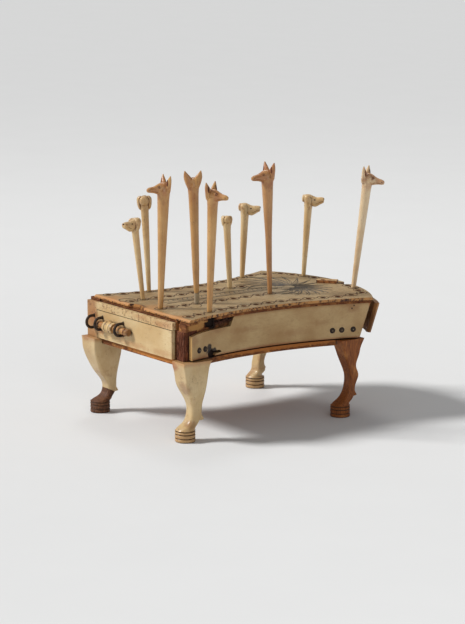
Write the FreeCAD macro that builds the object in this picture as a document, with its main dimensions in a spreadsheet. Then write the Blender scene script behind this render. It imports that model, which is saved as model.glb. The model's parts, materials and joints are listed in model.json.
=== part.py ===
import FreeCAD, Part

import math
import os
import re

import Sketcher

Vector = FreeCAD.Vector

# Driving dimensions in millimetres and degrees, each with what it sets.
# Plan sizes are measured back from the front edge of the playing surface, heights from the floor.
SIZES = {
    "front_y": (-62.3, "front edge of the playing surface, from the middle of the object"),
    "game_height": (63.0, "floor to playing surface"),
    "leg_height": (41.0, "floor to the top of the legs and of the bottom board"),
    # Playing surface in plan, with drawn-in sides and a rounded back.
    "board_front_half": (43.6, "half width at the front"),
    "board_back_half": (48.8, "half width at the back corners"),
    "board_length": (113.0, "front edge to the back corners"),
    "board_sag": (11.2, "how far the sides draw in"),
    "board_bulge": (16.0, "how far the back rounds out"),
    "veneer_thickness": (1.4, "ivory playing surface"),
    "board_thickness": (5.4, "wooden top board"),
    "lip_thickness": (1.6, "rim of the top board, over the side panels"),
    "lip_inset": (0.6, "rim of the top board, in from the ivory"),
    "edge_bevel": (0.8, "bevel along the front of the playing surface"),
    "tablet_length": (11.0, "broken slab near the back, along"),
    "tablet_width": (5.0, "broken slab near the back, across"),
    "tablet_thickness": (1.6, "broken slab near the back"),
    # Case in plan at the top of the side panels and at the bottom board.
    "case_front_half": (42.4, "half width at the front, top"),
    "case_back_half": (47.3, "half width at the back corners, top"),
    "case_length": (112.6, "front to back corners, top"),
    "case_sag": (11.7, "how far the sides draw in, top"),
    "case_bulge": (15.2, "how far the back rounds out, top"),
    "base_front_half": (42.3, "half width at the front, bottom"),
    "base_back_half": (44.6, "half width at the back corners, bottom"),
    "base_length": (107.6, "front to back corners, bottom"),
    "base_sag": (8.8, "how far the sides draw in, bottom"),
    "base_bulge": (14.4, "how far the back rounds out, bottom"),
    "panel_thickness": (2.2, "ivory side and back panels"),
    "panel_top": (60.0, "top of the panels and of the front strip"),
    "panel_bottom": (41.8, "bottom of the side panels"),
    "wall_thickness": (2.4, "wooden walls behind the panels"),
    "bottom_thickness": (2.8, "wooden bottom board"),
    "bottom_inset": (0.4, "bottom board, in from the panels"),
    "back_panel_bottom": (44.0, "bottom of the back panel"),
    "back_panel_top": (59.3, "top of the back panel"),
    "back_panel_lap": (2.0, "how far the back panel runs past the corner"),
    "back_panel_spring": (3.8, "angle by which the back panel has sprung loose"),
    # Front: fixed strip and stile, drawer opening, corner posts.
    "front_left": (-47.2, "left end of the front"),
    "strip_right": (31.2, "right end of the fixed strip"),
    "front_thickness": (2.0, "ivory of the front and of the drawer"),
    "opening_left": (-38.2, "left side of the drawer opening"),
    "opening_right": (30.8, "right side of the drawer opening"),
    "opening_gap": (0.35, "gap round the drawer front"),
    "post_depth": (9.0, "front posts, front to back"),
    "post_width": (6.2, "front posts, across"),
    "corner_depth": (4.2, "flared left corner of the top board and its post"),
    "back_post_start": (97.0, "front face of the back posts"),
    "back_post_inner": (31.0, "inner face of the back posts"),
    # Drawer.
    "drawer_gap_far": (0.13, "drawer to the far wall where it draws in most"),
    "drawer_gap_near": (0.43, "drawer to the near wall where it draws in most"),
    "drawer_length": (92.0, "front board's face to the back"),
    "drawer_top": (55.2, "top of the drawer sides"),
    "drawer_gap": (0.2, "running gap under the drawer"),
    "front_board_thickness": (3.4, "wooden front board of the drawer"),
    "drawer_side_thickness": (2.4, "drawer sides and back"),
    "drawer_bottom_thickness": (1.8, "drawer bottom"),
    # Bolt and staples.
    "bolt_radius": (1.8, "rod of the bolt"),
    "bolt_left": (-36.8, "left end of the bolt as it lies"),
    "bolt_length": (31.8, "bolt, end to end"),
    "collar_start": (10.2, "collar, from the left end"),
    "collar_length": (8.2, "ribbed collar"),
    "collar_radius": (3.1, "ribs of the collar"),
    "bolt_seat_gap": (0.2, "gap between the bolt and the wire or the face by it"),
    "wire_radius": (0.75, "wire of the staples"),
    "staple_radius": (3.1, "bend of the staples, to the middle of the wire"),
    "keeper_reach": (5.6, "how far the staple on the stile stands out"),
    "left_staple_reach": (5.7, "how far the first staple on the drawer stands out"),
    "right_staple_reach": (6.3, "how far the second staple on the drawer stands out"),
    "staple_depth": (4.6, "how deep the staples go into the front"),
    "staple_rise": (0.975, "staples, over the middle of the drawer's face"),
    "keeper_x": (-40.6, "staple on the stile"),
    "left_staple_x": (-32.7, "first staple on the drawer"),
    "right_staple_x": (-13.2, "second staple on the drawer"),
    # Peg holes.
    "hole_radius": (1.6, "peg holes"),
    "hole_depth": (6.0, "peg holes, from the playing surface"),
    "hole_pitch": (7.83, "spacing of the holes"),
    "first_hole": (5.6, "front edge to the first row"),
    "pattern_middle": (-4.0, "middle of the inner columns"),
    "column_half": (12.5, "inner columns, each side of their middle"),
    "side_margin": (5.1, "side holes, in from the edge"),
    "side_shift": (-1.9, "side holes, shifted across"),
    "back_margin": (3.9, "back holes, in from the edge"),
    "back_shift": (-0.4, "back holes, shifted across"),
    "back_pitch": (7.35, "spacing of the back holes"),
    # Legs.
    "hoof_radius": (5.2, "hooves"),
    "hoof_height": (6.0, "banded part of the hooves"),
    "band_groove": (0.45, "depth of the hoof grooves"),
    "notch_gap": (0.1, "gap between a leg's top and its notch in the bottom board"),
    "dowel_radius": (1.3, "dowels between legs and posts"),
    "dowel_length": (9.0, "dowels"),
    "stud_radius": (1.2, "studs of the side panels"),
    "stud_proud": (0.25, "studs, out of the panels"),
    "stud_depth": (3.6, "studs, into the walls"),
    "stud_rise": (5.2, "studs, over the foot of the case"),
    # Pins.
    "tip_radius": (1.0, "tip of the pins"),
    "tip_gap": (0.2, "gap under the tip of a pin"),
    "shaft_low_radius": (1.25, "pins at the playing surface"),
    "jackal_neck_radius": (2.75, "jackal pins under the head"),
    "hound_neck_radius": (2.05, "hound pins under the head"),
    "neck_flare": (0.35, "pins, wider again where the head begins"),
    "lean_heading": (54.0, "direction in plan in which the pins lean"),
}

doc = FreeCAD.newDocument("HoundsAndJackals")
sheet = doc.addObject("Spreadsheet::Sheet", "sizes")
for row, (alias, (value, meaning)) in enumerate(SIZES.items(), start=1):
    sheet.set(f"A{row}", meaning)
    sheet.set(f"B{row}", str(value))
    sheet.setAlias(f"B{row}", alias)
doc.recompute()

nodes = {}


def linked(text):
    """A formula in plain size names, with each name tied to its cell."""
    return re.sub(r"\b([a-z]+(?:_[a-z]+)+)\b", r"sizes.\1", text)


def size(text):
    """The value of such a formula."""
    return float(sheet.evalExpression(linked(text)))


def bind(thing, links):
    """Tie properties of an object to formulas."""
    for name, text in links.items():
        thing.setExpression(name, linked(text))


def node(name, thing):
    """Register an object as a sub-part."""
    thing.Label = name
    nodes[name] = thing
    return thing


def block(name, x, y, z):
    """A box between two values along each axis, its depth measured from the board's front edge."""
    box = doc.addObject("Part::Box", name)
    bind(box, {
        "Length": f"({x[1]}) - ({x[0]})",
        "Width": f"({y[1]}) - ({y[0]})",
        "Height": f"({z[1]}) - ({z[0]})",
        "Placement.Base.x": x[0],
        "Placement.Base.y": f"front_y + ({y[0]})",
        "Placement.Base.z": z[0],
    })
    return box


TURNS = {
    "z": FreeCAD.Rotation(),
    "x": FreeCAD.Rotation(Vector(0, 1, 0), 90),
    "y": FreeCAD.Rotation(Vector(1, 0, 0), -90),
}


def rod(name, radius, length, along, x, y, z):
    """A cylinder that starts at a point and runs along an axis."""
    cylinder = doc.addObject("Part::Cylinder", name)
    cylinder.Placement.Rotation = TURNS[along]
    bind(cylinder, {
        "Radius": radius,
        "Height": length,
        "Placement.Base.x": x,
        "Placement.Base.y": f"front_y + ({y})",
        "Placement.Base.z": z,
    })
    return cylinder


def fuse(name, *pieces):
    joined = doc.addObject("Part::MultiFuse", name)
    joined.Shapes = list(pieces)
    return joined


def common(name, *pieces):
    kept = doc.addObject("Part::MultiCommon", name)
    kept.Shapes = list(pieces)
    return kept


def cut(name, base, *tools):
    """Base less its tools."""
    rest = doc.addObject("Part::Cut", name)
    rest.Base = base
    rest.Tool = tools[0] if len(tools) == 1 else fuse(name + "_tools", *tools)
    return rest


def group(name, *pieces):
    """Like pieces kept as separate solids of one sub-part."""
    joined = doc.addObject("Part::Compound", name)
    joined.Links = list(pieces)
    return joined


def close_sketch(sketch, points):
    """Straight closed outline whose corners are tied to formulas."""
    places = [Vector(size(a), size(b), 0) for a, b in points]
    for start, end in zip(places, places[1:] + places[:1]):
        sketch.addGeometry(Part.LineSegment(start, end))
    for index in range(len(points)):
        following = (index + 1) % len(points)
        sketch.addConstraint(Sketcher.Constraint("Coincident", index, 2, following, 1))
    for index, (place, texts) in enumerate(zip(places, points)):
        for kind, text, value in zip(("DistanceX", "DistanceY"), texts, (place.x, place.y)):
            number = sketch.addConstraint(Sketcher.Constraint(kind, -1, 1, index, 1, value))
            if "_" in text:
                sketch.setExpression(f"Constraints[{number}]", linked(text))


def side_prism(name, x, points):
    """Prism along X over an outline drawn in depth and height."""
    sketch = doc.addObject("Sketcher::SketchObject", name + "_outline")
    sketch.Placement.Rotation = FreeCAD.Rotation(Vector(1, 1, 1), 120)
    bind(sketch, {"Placement.Base.x": x[0], "Placement.Base.y": "front_y"})
    close_sketch(sketch, points)
    prism = doc.addObject("Part::Extrusion", name)
    prism.Base = sketch
    prism.DirMode = "Custom"
    prism.Dir = Vector(1, 0, 0)
    prism.Solid = True
    bind(prism, {"LengthFwd": f"({x[1]}) - ({x[0]})"})
    return prism


def plan_prism(name, points, z):
    """Prism upwards over an outline drawn in plan."""
    sketch = doc.addObject("Sketcher::SketchObject", name + "_outline")
    bind(sketch, {"Placement.Base.y": "front_y", "Placement.Base.z": z[0]})
    close_sketch(sketch, points)
    return raised(name, sketch, f"({z[1]}) - ({z[0]})")


def raised(name, sketch, height):
    """Upright solid over a closed plan sketch."""
    prism = doc.addObject("Part::Extrusion", name)
    prism.Base = sketch
    prism.DirMode = "Custom"
    prism.Dir = Vector(0, 0, 1)
    prism.Solid = True
    bind(prism, {"LengthFwd": height})
    return prism


def origin_plane(body, role):
    return next(plane for plane in body.Origin.OriginFeatures if plane.Role == role)


def plate_body(name, points, y, thickness):
    """Upright plate drawn on the front face and padded backwards, with its sketch for holes."""
    body = doc.addObject("PartDesign::Body", name)
    bind(body, {"Placement.Base.y": f"front_y + ({y})"})
    outline = body.newObject("Sketcher::SketchObject", name + "_face")
    outline.AttachmentSupport = (origin_plane(body, "XZ_Plane"), [""])
    outline.MapMode = "FlatFace"
    close_sketch(outline, points)
    pad = body.newObject("PartDesign::Pad", name + "_pad")
    pad.Profile = outline
    pad.Reversed = True
    bind(pad, {"Length": thickness})
    return body


def turned_body(name, profile):
    """Body turned about its own upright axis from a profile of radius and height."""
    body = doc.addObject("PartDesign::Body", name)
    outline = body.newObject("Sketcher::SketchObject", name + "_profile")
    outline.AttachmentSupport = (origin_plane(body, "XZ_Plane"), [""])
    outline.MapMode = "FlatFace"
    close_sketch(outline, profile)
    turning = body.newObject("PartDesign::Revolution", name + "_turning")
    turning.Profile = outline
    turning.ReferenceAxis = (outline, ["V_Axis"])
    turning.Angle = 360
    return body


# Plan outlines: a straight front, two drawn-in sides and a rounded back, all concentric when inset.

def back_radius(key):
    return f"(({key}_back_half^2 + {key}_bulge^2) / (2 * {key}_bulge))"


def back_middle(key):
    return f"({key}_length + {key}_bulge - {back_radius(key)})"


def side_chord(key):
    return f"sqrt(({key}_back_half - {key}_front_half)^2 + {key}_length^2)"


def side_radius(key):
    return f"(({side_chord(key)}^2 / 4 + {key}_sag^2) / (2 * {key}_sag))"


def side_middle_x(key):
    reach = f"({side_radius(key)} - {key}_sag)"
    return f"(({key}_front_half + {key}_back_half) / 2 + {key}_length / {side_chord(key)} * {reach})"


def side_middle_y(key):
    reach = f"({side_radius(key)} - {key}_sag)"
    lean = f"({key}_back_half - {key}_front_half)"
    return f"({key}_length / 2 - {lean} / {side_chord(key)} * {reach})"


def half_width(key, depth, inset=0.0):
    """Half width of an outline at a depth behind the front edge."""
    radius = size(side_radius(key)) + inset
    return size(side_middle_x(key)) - math.sqrt(radius ** 2 - (depth - size(side_middle_y(key))) ** 2)


def crossing(middle_a, radius_a, middle_b, radius_b):
    """Back corner where a side arc and the back arc cross."""
    gap = middle_b - middle_a
    along = (radius_a ** 2 - radius_b ** 2 + gap.Length ** 2) / (2 * gap.Length)
    aside = math.sqrt(radius_a ** 2 - along ** 2)
    unit = gap * (1 / gap.Length)
    return middle_a + unit * along + Vector(-unit.y, unit.x, 0) * aside


def upward_arc(middle, radius, start, end):
    """Arc that runs against the clock from start to end."""
    circle = Part.Circle(middle, Vector(0, 0, 1), radius)
    first = circle.parameter(start)
    last = circle.parameter(end)
    return Part.ArcOfCircle(circle, first, last if last > first else last + 2 * math.pi)


def plan(name, key, inset, front, z, lap="0 * back_panel_lap"):
    """Plan outline at a height, inset all round except for its front, with its sides lapped out."""
    sketch = doc.addObject("Sketcher::SketchObject", name)
    bind(sketch, {"Placement.Base.y": "front_y", "Placement.Base.z": z})
    back_circle = (Vector(0, size(back_middle(key)), 0), size(f"{back_radius(key)} - ({inset})"))
    side_circle = (
        Vector(size(side_middle_x(key)), size(side_middle_y(key)), 0),
        size(f"{side_radius(key)} + ({inset}) - ({lap})"),
    )
    front_value = size(front)
    front_corner = Vector(half_width(key, front_value, size(f"{inset} - ({lap})")), front_value, 0)
    back_corner = crossing(*back_circle, *side_circle)
    if back_corner.y < back_circle[0].y:
        back_corner = crossing(*side_circle, *back_circle)

    def mirrored(point):
        return Vector(-point.x, point.y, point.z)

    front_line = sketch.addGeometry(Part.LineSegment(mirrored(front_corner), front_corner))
    right = sketch.addGeometry(upward_arc(*side_circle, back_corner, front_corner))
    back = sketch.addGeometry(upward_arc(*back_circle, back_corner, mirrored(back_corner)))
    left = sketch.addGeometry(upward_arc(
        mirrored(side_circle[0]), side_circle[1], mirrored(front_corner), mirrored(back_corner)))
    joints = (
        (front_line, 2, right, 2),
        (right, 1, back, 1),
        (back, 2, left, 2),
        (left, 1, front_line, 1),
    )
    for joint in joints:
        sketch.addConstraint(Sketcher.Constraint("Coincident", *joint))
    sketch.addConstraint(Sketcher.Constraint("Horizontal", front_line))
    sketch.addConstraint(Sketcher.Constraint("PointOnObject", back, 3, -2))
    sketch.addConstraint(Sketcher.Constraint("Symmetric", left, 3, right, 3, -2))
    sketch.addConstraint(Sketcher.Constraint("Equal", left, right))
    tied = (
        ("DistanceY", (-1, 1, front_line, 1), front),
        ("DistanceX", (-1, 1, right, 3), side_middle_x(key)),
        ("DistanceY", (-1, 1, right, 3), side_middle_y(key)),
        ("Radius", (right,), f"{side_radius(key)} + ({inset}) - ({lap})"),
        ("DistanceY", (-1, 1, back, 3), back_middle(key)),
        ("Radius", (back,), f"{back_radius(key)} - ({inset})"),
    )
    for kind, where, text in tied:
        number = sketch.addConstraint(Sketcher.Constraint(kind, *where, size(text)))
        sketch.setExpression(f"Constraints[{number}]", linked(text))
    return sketch


def case_solid(name, inset, lap="0 * back_panel_lap"):
    """Tapered solid of the case between the bottom board and the top of the panels."""
    low = plan(name + "_low", "base", inset, "0 * front_thickness", "leg_height", lap)
    top = plan(name + "_top", "case", inset, "0 * front_thickness", "panel_top", lap)
    loft = doc.addObject("Part::Loft", name)
    loft.Sections = [low, top]
    loft.Solid = True
    loft.Ruled = True
    return loft


# Peg holes: two inner columns and a run round the sides and the back on each side.

INNER_ROWS = 10
SIDE_ROWS = 13
BACK_HOLES = 5


def inner_spot(side, row):
    return Vector(
        size("pattern_middle") + side * size("column_half"),
        size("first_hole") + row * size("hole_pitch"), 0)


def side_spot(side, row):
    depth = size("first_hole") + row * size("hole_pitch")
    reach = half_width("board", depth) - size("side_margin")
    return Vector(size("side_shift") + side * reach, depth, 0)


def back_spot(side, step):
    """Holes along the back, counted from the corner towards the middle."""
    radius = size(f"{back_radius('board')} - back_margin")
    turn = math.degrees(size("back_pitch") / radius) * (BACK_HOLES - step)
    return Vector(
        size("back_shift") + side * radius * math.sin(math.radians(turn)),
        size(back_middle("board")) + radius * math.cos(math.radians(turn)), 0)


def corner_spot(side):
    """Hole between the side run and the back run, as far from one as from the other."""
    between = (side_spot(side, SIDE_ROWS - 1) + back_spot(side, 0)) * 0.5
    outward = Vector(side, 0.25, 0)
    return between + outward * (size("hole_pitch") * 0.12)


# Hand-drilled holes that lie off the even run, with their shift.
STRAY_HOLES = {
    ("inner", "left", 1): Vector(-0.6, -0.5, 0),
    ("side", "left", 3): Vector(-0.4, -1.2, 0),
    ("inner", "right", 0): Vector(0.6, 0.4, 0),
}

SPOTS = {}
for side_name, side in (("left", -1), ("right", 1)):
    for row in range(INNER_ROWS):
        SPOTS["inner", side_name, row] = inner_spot(side, row)
    for row in range(SIDE_ROWS):
        SPOTS["side", side_name, row] = side_spot(side, row)
    SPOTS["corner", side_name, 0] = corner_spot(side)
    for step in range(BACK_HOLES):
        SPOTS["back", side_name, step] = back_spot(side, step)
for spot, shift in STRAY_HOLES.items():
    SPOTS[spot] += shift

# Pins: name, hole, height of the head over the surface, sideways lean for each unit of height,
# heading of the face, size of the head, and stoutness at the foot, halfway and at the neck.
PINS = (
    ("jackal_pin_1", ("inner", "right", 0), 62.4, 0.031, -97, 1.0, (1.04, 1.0, 1.11)),
    ("jackal_pin_2", ("inner", "right", 3), 62.9, -0.027, 144, 1.0, (1.0, 0.85, 0.97)),
    ("jackal_pin_3", ("side", "right", 2), 60.2, 0.030, 20, 0.98, (1.04, 0.94, 0.97)),
    ("jackal_pin_4", ("inner", "right", 9), 63.0, -0.025, -92, 1.04, (0.94, 0.79, 1.09)),
    ("jackal_pin_5", ("back", "right", 2), 59.4, 0.119, 32, 1.0, (1.02, 0.88, 0.91)),
    ("hound_pin_1", ("inner", "left", 1), 40.4, -0.103, -76, 1.0, (0.86, 0.82, 0.9)),
    ("hound_pin_2", ("side", "left", 3), 48.4, -0.045, 144, 1.12, (0.86, 0.9, 1.0)),
    ("hound_pin_3", ("inner", "left", 8), 36.8, -0.045, 160, 0.85, (1.0, 0.87, 0.93)),
    ("hound_pin_4", ("side", "left", 11), 38.4, 0.042, 44, 1.0, (1.0, 0.97, 1.02)),
    ("hound_pin_5", ("back", "left", 2), 42.4, 0.062, 44, 1.0, (0.9, 0.9, 1.02)),
)
WORN_PIN = "jackal_pin_2"


def pin_placement(spot, lean):
    """Frame of a pin: on the playing surface at its hole, tilted by its lean."""
    heading = math.radians(size("lean_heading"))
    upright = Vector(lean * math.cos(heading), lean * math.sin(heading), 1)
    at = SPOTS[spot] + Vector(0, size("front_y"), size("game_height"))
    return FreeCAD.Placement(at, FreeCAD.Rotation(Vector(0, 0, 1), upright))


def hole_cutters():
    """One cutter for each peg hole, along the pin where one stands in it."""
    radius = size("hole_radius")
    depth = size("hole_depth")
    above = 1.0
    leaning = {spot: lean for _, spot, _, lean, _, _, _ in PINS}
    cutters = []
    for spot in SPOTS:
        cutter = Part.makeCylinder(radius, depth + above, Vector(0, 0, -depth))
        cutter.Placement = pin_placement(spot, leaning.get(spot, 0.0))
        cutters.append(cutter)
    return Part.makeCompound(cutters)


peg_holes = doc.addObject("Part::Feature", "peg_holes")
peg_holes.Shape = hole_cutters()

# Case solids, from the outside in.
case_outer = case_solid("case_outer", "0 * panel_thickness")
case_lining = case_solid("case_lining", "panel_thickness")
case_room = case_solid("case_room", "panel_thickness + wall_thickness")
panel_ring = cut("panel_ring", case_outer, case_lining)
wall_ring = cut("wall_ring", case_lining, case_room)

WIDE = "2 * case_back_half"
BOARD_UNDERSIDE = "game_height - veneer_thickness - board_thickness"
VENEER_UNDERSIDE = "game_height - veneer_thickness"
STAPLE_LEVEL = (
    "((leg_height + drawer_gap + game_height - veneer_thickness - board_thickness - opening_gap)"
    " / 2 + staple_rise)")
WAIST = f"({side_middle_x('case')} - {side_radius('case')} - panel_thickness - wall_thickness)"
DRAWER_FAR = f"-({WAIST} - drawer_gap_far)"
DRAWER_NEAR = f"({WAIST} - drawer_gap_near)"


def corner_depth_at(height):
    """Depth of the sloping line through the back corners at a height."""
    rise = f"(({height}) - leg_height) / (panel_top - leg_height)"
    return f"(base_length + (case_length - base_length) * {rise})"


def ahead_of_corners(name, x, start, low, high):
    """Everything from a depth back to the sloping back corners."""
    return side_prism(name, x, (
        (start, low),
        (corner_depth_at(low), low),
        (corner_depth_at(high), high),
        (start, high),
    ))


def behind_corners(name, x, low, high, lap="0 * back_panel_lap"):
    """Everything behind the sloping back corners, or from a lap ahead of them."""
    far = "case_length + 2 * case_bulge"
    return side_prism(name, x, (
        (f"{corner_depth_at(low)} - ({lap})", low),
        (far, low),
        (far, high),
        (f"{corner_depth_at(high)} - ({lap})", high),
    ))


# Studs in the side panels.

REAR_STUDS = (93.2, 98.2, 104.2)
FRONT_STUDS_NEAR = (8.5, 13.0)
FRONT_STUDS_FAR = (8.5, 13.0, 17.4)
STUD_HEIGHT = size("leg_height + stud_rise")


def panel_face(depth, height):
    """Half width of the panels' outer face at a depth and height."""
    rise = (height - size("leg_height")) / size("panel_top - leg_height")
    low = half_width("base", depth)
    top = half_width("case", depth)
    return low + (top - low) * rise


def stud(side, depth):
    reach = size("stud_depth + stud_proud")
    face = panel_face(depth, STUD_HEIGHT)
    start = Vector(side * (face - size("stud_depth")), size("front_y") + depth, STUD_HEIGHT)
    return Part.makeCylinder(size("stud_radius"), reach, start, Vector(side, 0, 0))


near_studs = [stud(1, depth) for depth in FRONT_STUDS_NEAR + REAR_STUDS]
far_studs = [stud(-1, depth) for depth in FRONT_STUDS_FAR + REAR_STUDS]
side_studs = node("side_studs", doc.addObject("Part::Feature", "side_studs"))
side_studs.Shape = Part.makeCompound(near_studs + far_studs)

# Ivory panels. The near one has lost its upper front corner and a bite at its foot.
broken_corner = side_prism("broken_corner", ("0 * front_y", WIDE), (
    ("-1", "53.6"),
    ("3", "54"),
    ("8", "54.6"),
    ("16", "55"),
    ("31.6", "55.1"),
    ("33.6", "58.8"),
    ("35.4", "panel_top + 1"),
    ("-1", "panel_top + 1"),
))
bite = side_prism("bite", ("0 * front_y", WIDE), (
    ("15.4", "panel_bottom - 1"),
    ("14.6", "43.4"),
    ("17.6", "45.6"),
    ("18.8", "44.4"),
    ("23.6", "44.2"),
    ("24.8", "43"),
    ("20.4", "42.6"),
    ("19.6", "panel_bottom - 1"),
))
near_run = ahead_of_corners("near_run", ("0 * front_y", WIDE), "2.8", "panel_bottom", "panel_top")
near_blank = common("near_blank", panel_ring, near_run)
node("near_side_panel", cut(
    "near_side_panel", near_blank, broken_corner, bite, side_studs, peg_holes))
far_run = ahead_of_corners(
    "far_run", (f"-({WIDE})", "0 * front_y"), "corner_depth", "panel_bottom", "panel_top")
far_blank = common("far_blank", panel_ring, far_run)
node("far_side_panel", cut("far_side_panel", far_blank, side_studs, peg_holes))

back_ring = cut(
    "back_ring", case_solid("back_outer", "0 * panel_thickness", "back_panel_lap"),
    case_solid("back_inner", "panel_thickness", "back_panel_lap"))
back_run = fuse(
    "back_run",
    behind_corners(
        "back_run_far", ("-case_back_half", "0 * front_y"), "back_panel_bottom",
        "back_panel_top"),
    behind_corners(
        "back_run_near", ("0 * front_y", WIDE), "back_panel_bottom", "back_panel_top",
        "back_panel_lap"))
back_panel = node("back_panel", common("back_panel", back_ring, back_run))
back_panel.Placement.Rotation = FreeCAD.Rotation(Vector(0, 0, 1), 1)
bind(back_panel, {
    "Placement.Rotation.Angle": "back_panel_spring",
    "Placement.Base.x":
        "-case_back_half + case_back_half * cos(back_panel_spring)"
        " + (front_y + case_length) * sin(back_panel_spring)",
    "Placement.Base.y":
        "(front_y + case_length) + case_back_half * sin(back_panel_spring)"
        " - (front_y + case_length) * cos(back_panel_spring)",
})

HOOF_TOP = 6.0
LEG_TOP = 41.0

# Legs as sections of height, front, back, half width and rounding, measured back from the
# middle of the hoof, from the top of the hoof up to the case.
FORELEG_RIGHT = (
    (HOOF_TOP, -4.9, 4.9, 4.9, 0.5),
    (8.4, -1.4, 5.8, 4.2, 0.42),
    (11.6, 1.5, 7.8, 3.7, 0.34),
    (15.0, 2.3, 8.6, 3.55, 0.3),
    (18.8, 2.1, 8.9, 3.6, 0.26),
    (22.4, 0.8, 9.5, 4.2, 0.2),
    (27.0, -1.5, 10.1, 4.9, 0.12),
    (33.0, -3.0, 10.8, 5.3, 0.08),
    (37.5, -3.8, 11.5, 5.4, 0.06),
    (LEG_TOP, -4.0, 13.4, 5.45, 0.05),
)
FORELEG_LEFT = (
    (HOOF_TOP, -4.8, 4.8, 4.8, 0.5),
    (7.6, -0.9, 5.9, 4.4, 0.45),
    (9.6, 2.2, 7.0, 4.0, 0.4),
    (12.9, 3.2, 8.5, 3.8, 0.3),
    (16.2, 2.3, 8.7, 3.8, 0.28),
    (19.8, -0.3, 9.0, 4.1, 0.24),
    (25.6, -3.7, 9.5, 5.0, 0.15),
    (32.0, -6.2, 10.2, 5.8, 0.08),
    (37.5, -7.1, 10.4, 6.2, 0.06),
    (LEG_TOP, -7.4, 10.7, 6.3, 0.05),
)
HINDLEG = (
    (HOOF_TOP, -4.9, 4.9, 4.8, 0.5),
    (8.4, -0.7, 5.3, 4.1, 0.42),
    (11.2, 2.1, 7.4, 3.5, 0.34),
    (14.0, 3.5, 7.9, 3.2, 0.3),
    (17.2, 4.3, 8.6, 3.2, 0.28),
    (21.4, 4.4, 10.1, 3.4, 0.24),
    (25.2, 3.5, 8.4, 3.7, 0.2),
    (30.0, 1.4, 8.7, 4.0, 0.14),
    (35.0, -0.5, 10.2, 4.2, 0.1),
    (38.3, -1.6, 11.2, 4.35, 0.06),
    (LEG_TOP, -2.8, 12.6, 4.4, 0.05),
)
# Each leg: its middle across, its hoof's middle in depth, its sections, how much broader it is,
# how far its hoof stands further back, and its dowel's place inward and behind the hoof.
LEGS = {
    "leg_front_right": (37.7, 1.1, FORELEG_RIGHT, 1.0, 0.0, (1.6, 3.4)),
    "leg_front_left": (-42.2, 2.1, FORELEG_LEFT, 1.0, 0.0, (0.0, 0.2)),
    "leg_back_right": (40.6, 98.3, HINDLEG, 1.0, 0.0, (2.8, 5.5)),
    "leg_back_left": (-41.0, 99.6, HINDLEG, 1.12, 3.5, (2.8, 4.0)),
}
LOFT_DEGREE = 3
ANKLE_HEIGHT = 13.5
SPUR_SECTION = 3


def leg_level(height):
    """A height drawn on the legs, carried along by the tops of the hooves and of the legs."""
    share = (height - HOOF_TOP) / (LEG_TOP - HOOF_TOP)
    return size("hoof_height") + share * size("leg_height - hoof_height")


def leg_section(middle_x, offset, height, front, back, half, corner):
    """Rounded rectangle of a leg at a height."""
    middle = Vector(
        middle_x, size("front_y") + offset + (front + back) / 2, leg_level(height))
    across = half
    along = (back - front) / 2
    rounding = corner * 2 * min(across, along) * 0.98
    edges = []
    for step in range(4):
        turn = math.pi / 2 * step
        inner = Vector(
            (across - rounding) * (1 if step in (0, 3) else -1),
            (along - rounding) * (1 if step in (0, 1) else -1), 0)
        ends = [
            middle + inner + Vector(math.cos(turn + part), math.sin(turn + part), 0) * rounding
            for part in (0, math.pi / 4, math.pi / 2)
        ]
        edges.append(ends)
    wire = []
    for here, following in zip(edges, edges[1:] + edges[:1]):
        wire.append(Part.Arc(*here).toShape())
        wire.append(Part.LineSegment(here[2], following[0]).toShape())
    return Part.Wire(wire)


def hoof(middle):
    """Banded hoof, turned about its own axis."""
    radius = size("hoof_radius")
    height = size("hoof_height")
    groove = size("band_groove")
    outline = [Vector(0, 0, 0), Vector(radius - 0.3, 0, 0), Vector(radius, 0, 0.4)]
    for band in (0.33, 0.67, 0.93):
        level = band * height
        outline += [
            Vector(radius, 0, level - 0.45),
            Vector(radius - groove, 0, level),
            Vector(radius, 0, min(level + 0.45, height)),
        ]
    outline += [Vector(radius - 0.2, 0, height + 0.1), Vector(0, 0, height + 0.1)]
    face = Part.Face(Part.makePolygon(outline + outline[:1]))
    solid = face.revolve(Vector(0, 0, 0), Vector(0, 0, 1), 360)
    solid.translate(middle)
    return solid


def spur(middle_x, back):
    """Dewclaw behind the ankle."""
    width = 3.4
    points = [
        Vector(middle_x - width / 2, back + ahead, leg_level(height))
        for ahead, height in ((-1.6, 15.4), (0.2, 13.6), (1.9, 10.4), (-0.4, 10.0), (-2.6, 11.0))
    ]
    return Part.Face(Part.makePolygon(points + points[:1])).extrude(Vector(width, 0, 0))


def toe_cleft(middle_x, hoof_y):
    """Groove between the toes, down the front of the hoof."""
    cleft = Part.makeBox(0.7, 5.2, 2.2, Vector(-0.35, 0, -0.4))
    cleft.rotate(Vector(0, 0, 0), Vector(1, 0, 0), 48)
    cleft.translate(Vector(middle_x, hoof_y - 4.3, leg_level(6.8)))
    return cleft


def leg_shape(middle_x, hoof_depth, sections, breadth, hoof_shift, dowel_shift):
    """Bull's leg with its hoof, toe cleft and spur, drilled for its dowel."""
    wires = []
    for height, front, back, half, corner in sections:
        below_ankle = max(0.0, (ANKLE_HEIGHT - height) / (ANKLE_HEIGHT - sections[0][0]))
        broad = half if below_ankle > 0.5 else half * breadth
        wires.append(leg_section(
            middle_x, hoof_depth + hoof_shift * below_ankle, height, front, back, broad, corner))
    shape = Part.makeLoft(wires, True, False, False, LOFT_DEGREE)
    hoof_y = size("front_y") + hoof_depth + hoof_shift
    spur_back = size("front_y") + hoof_depth + sections[SPUR_SECTION][2]
    shape = shape.fuse([hoof(Vector(middle_x, hoof_y, 0)), spur(middle_x, spur_back)])
    shape = shape.cut(toe_cleft(middle_x, hoof_y))
    return shape.cut(dowel_shape(middle_x, hoof_depth, dowel_shift)).removeSplitter()


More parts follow.
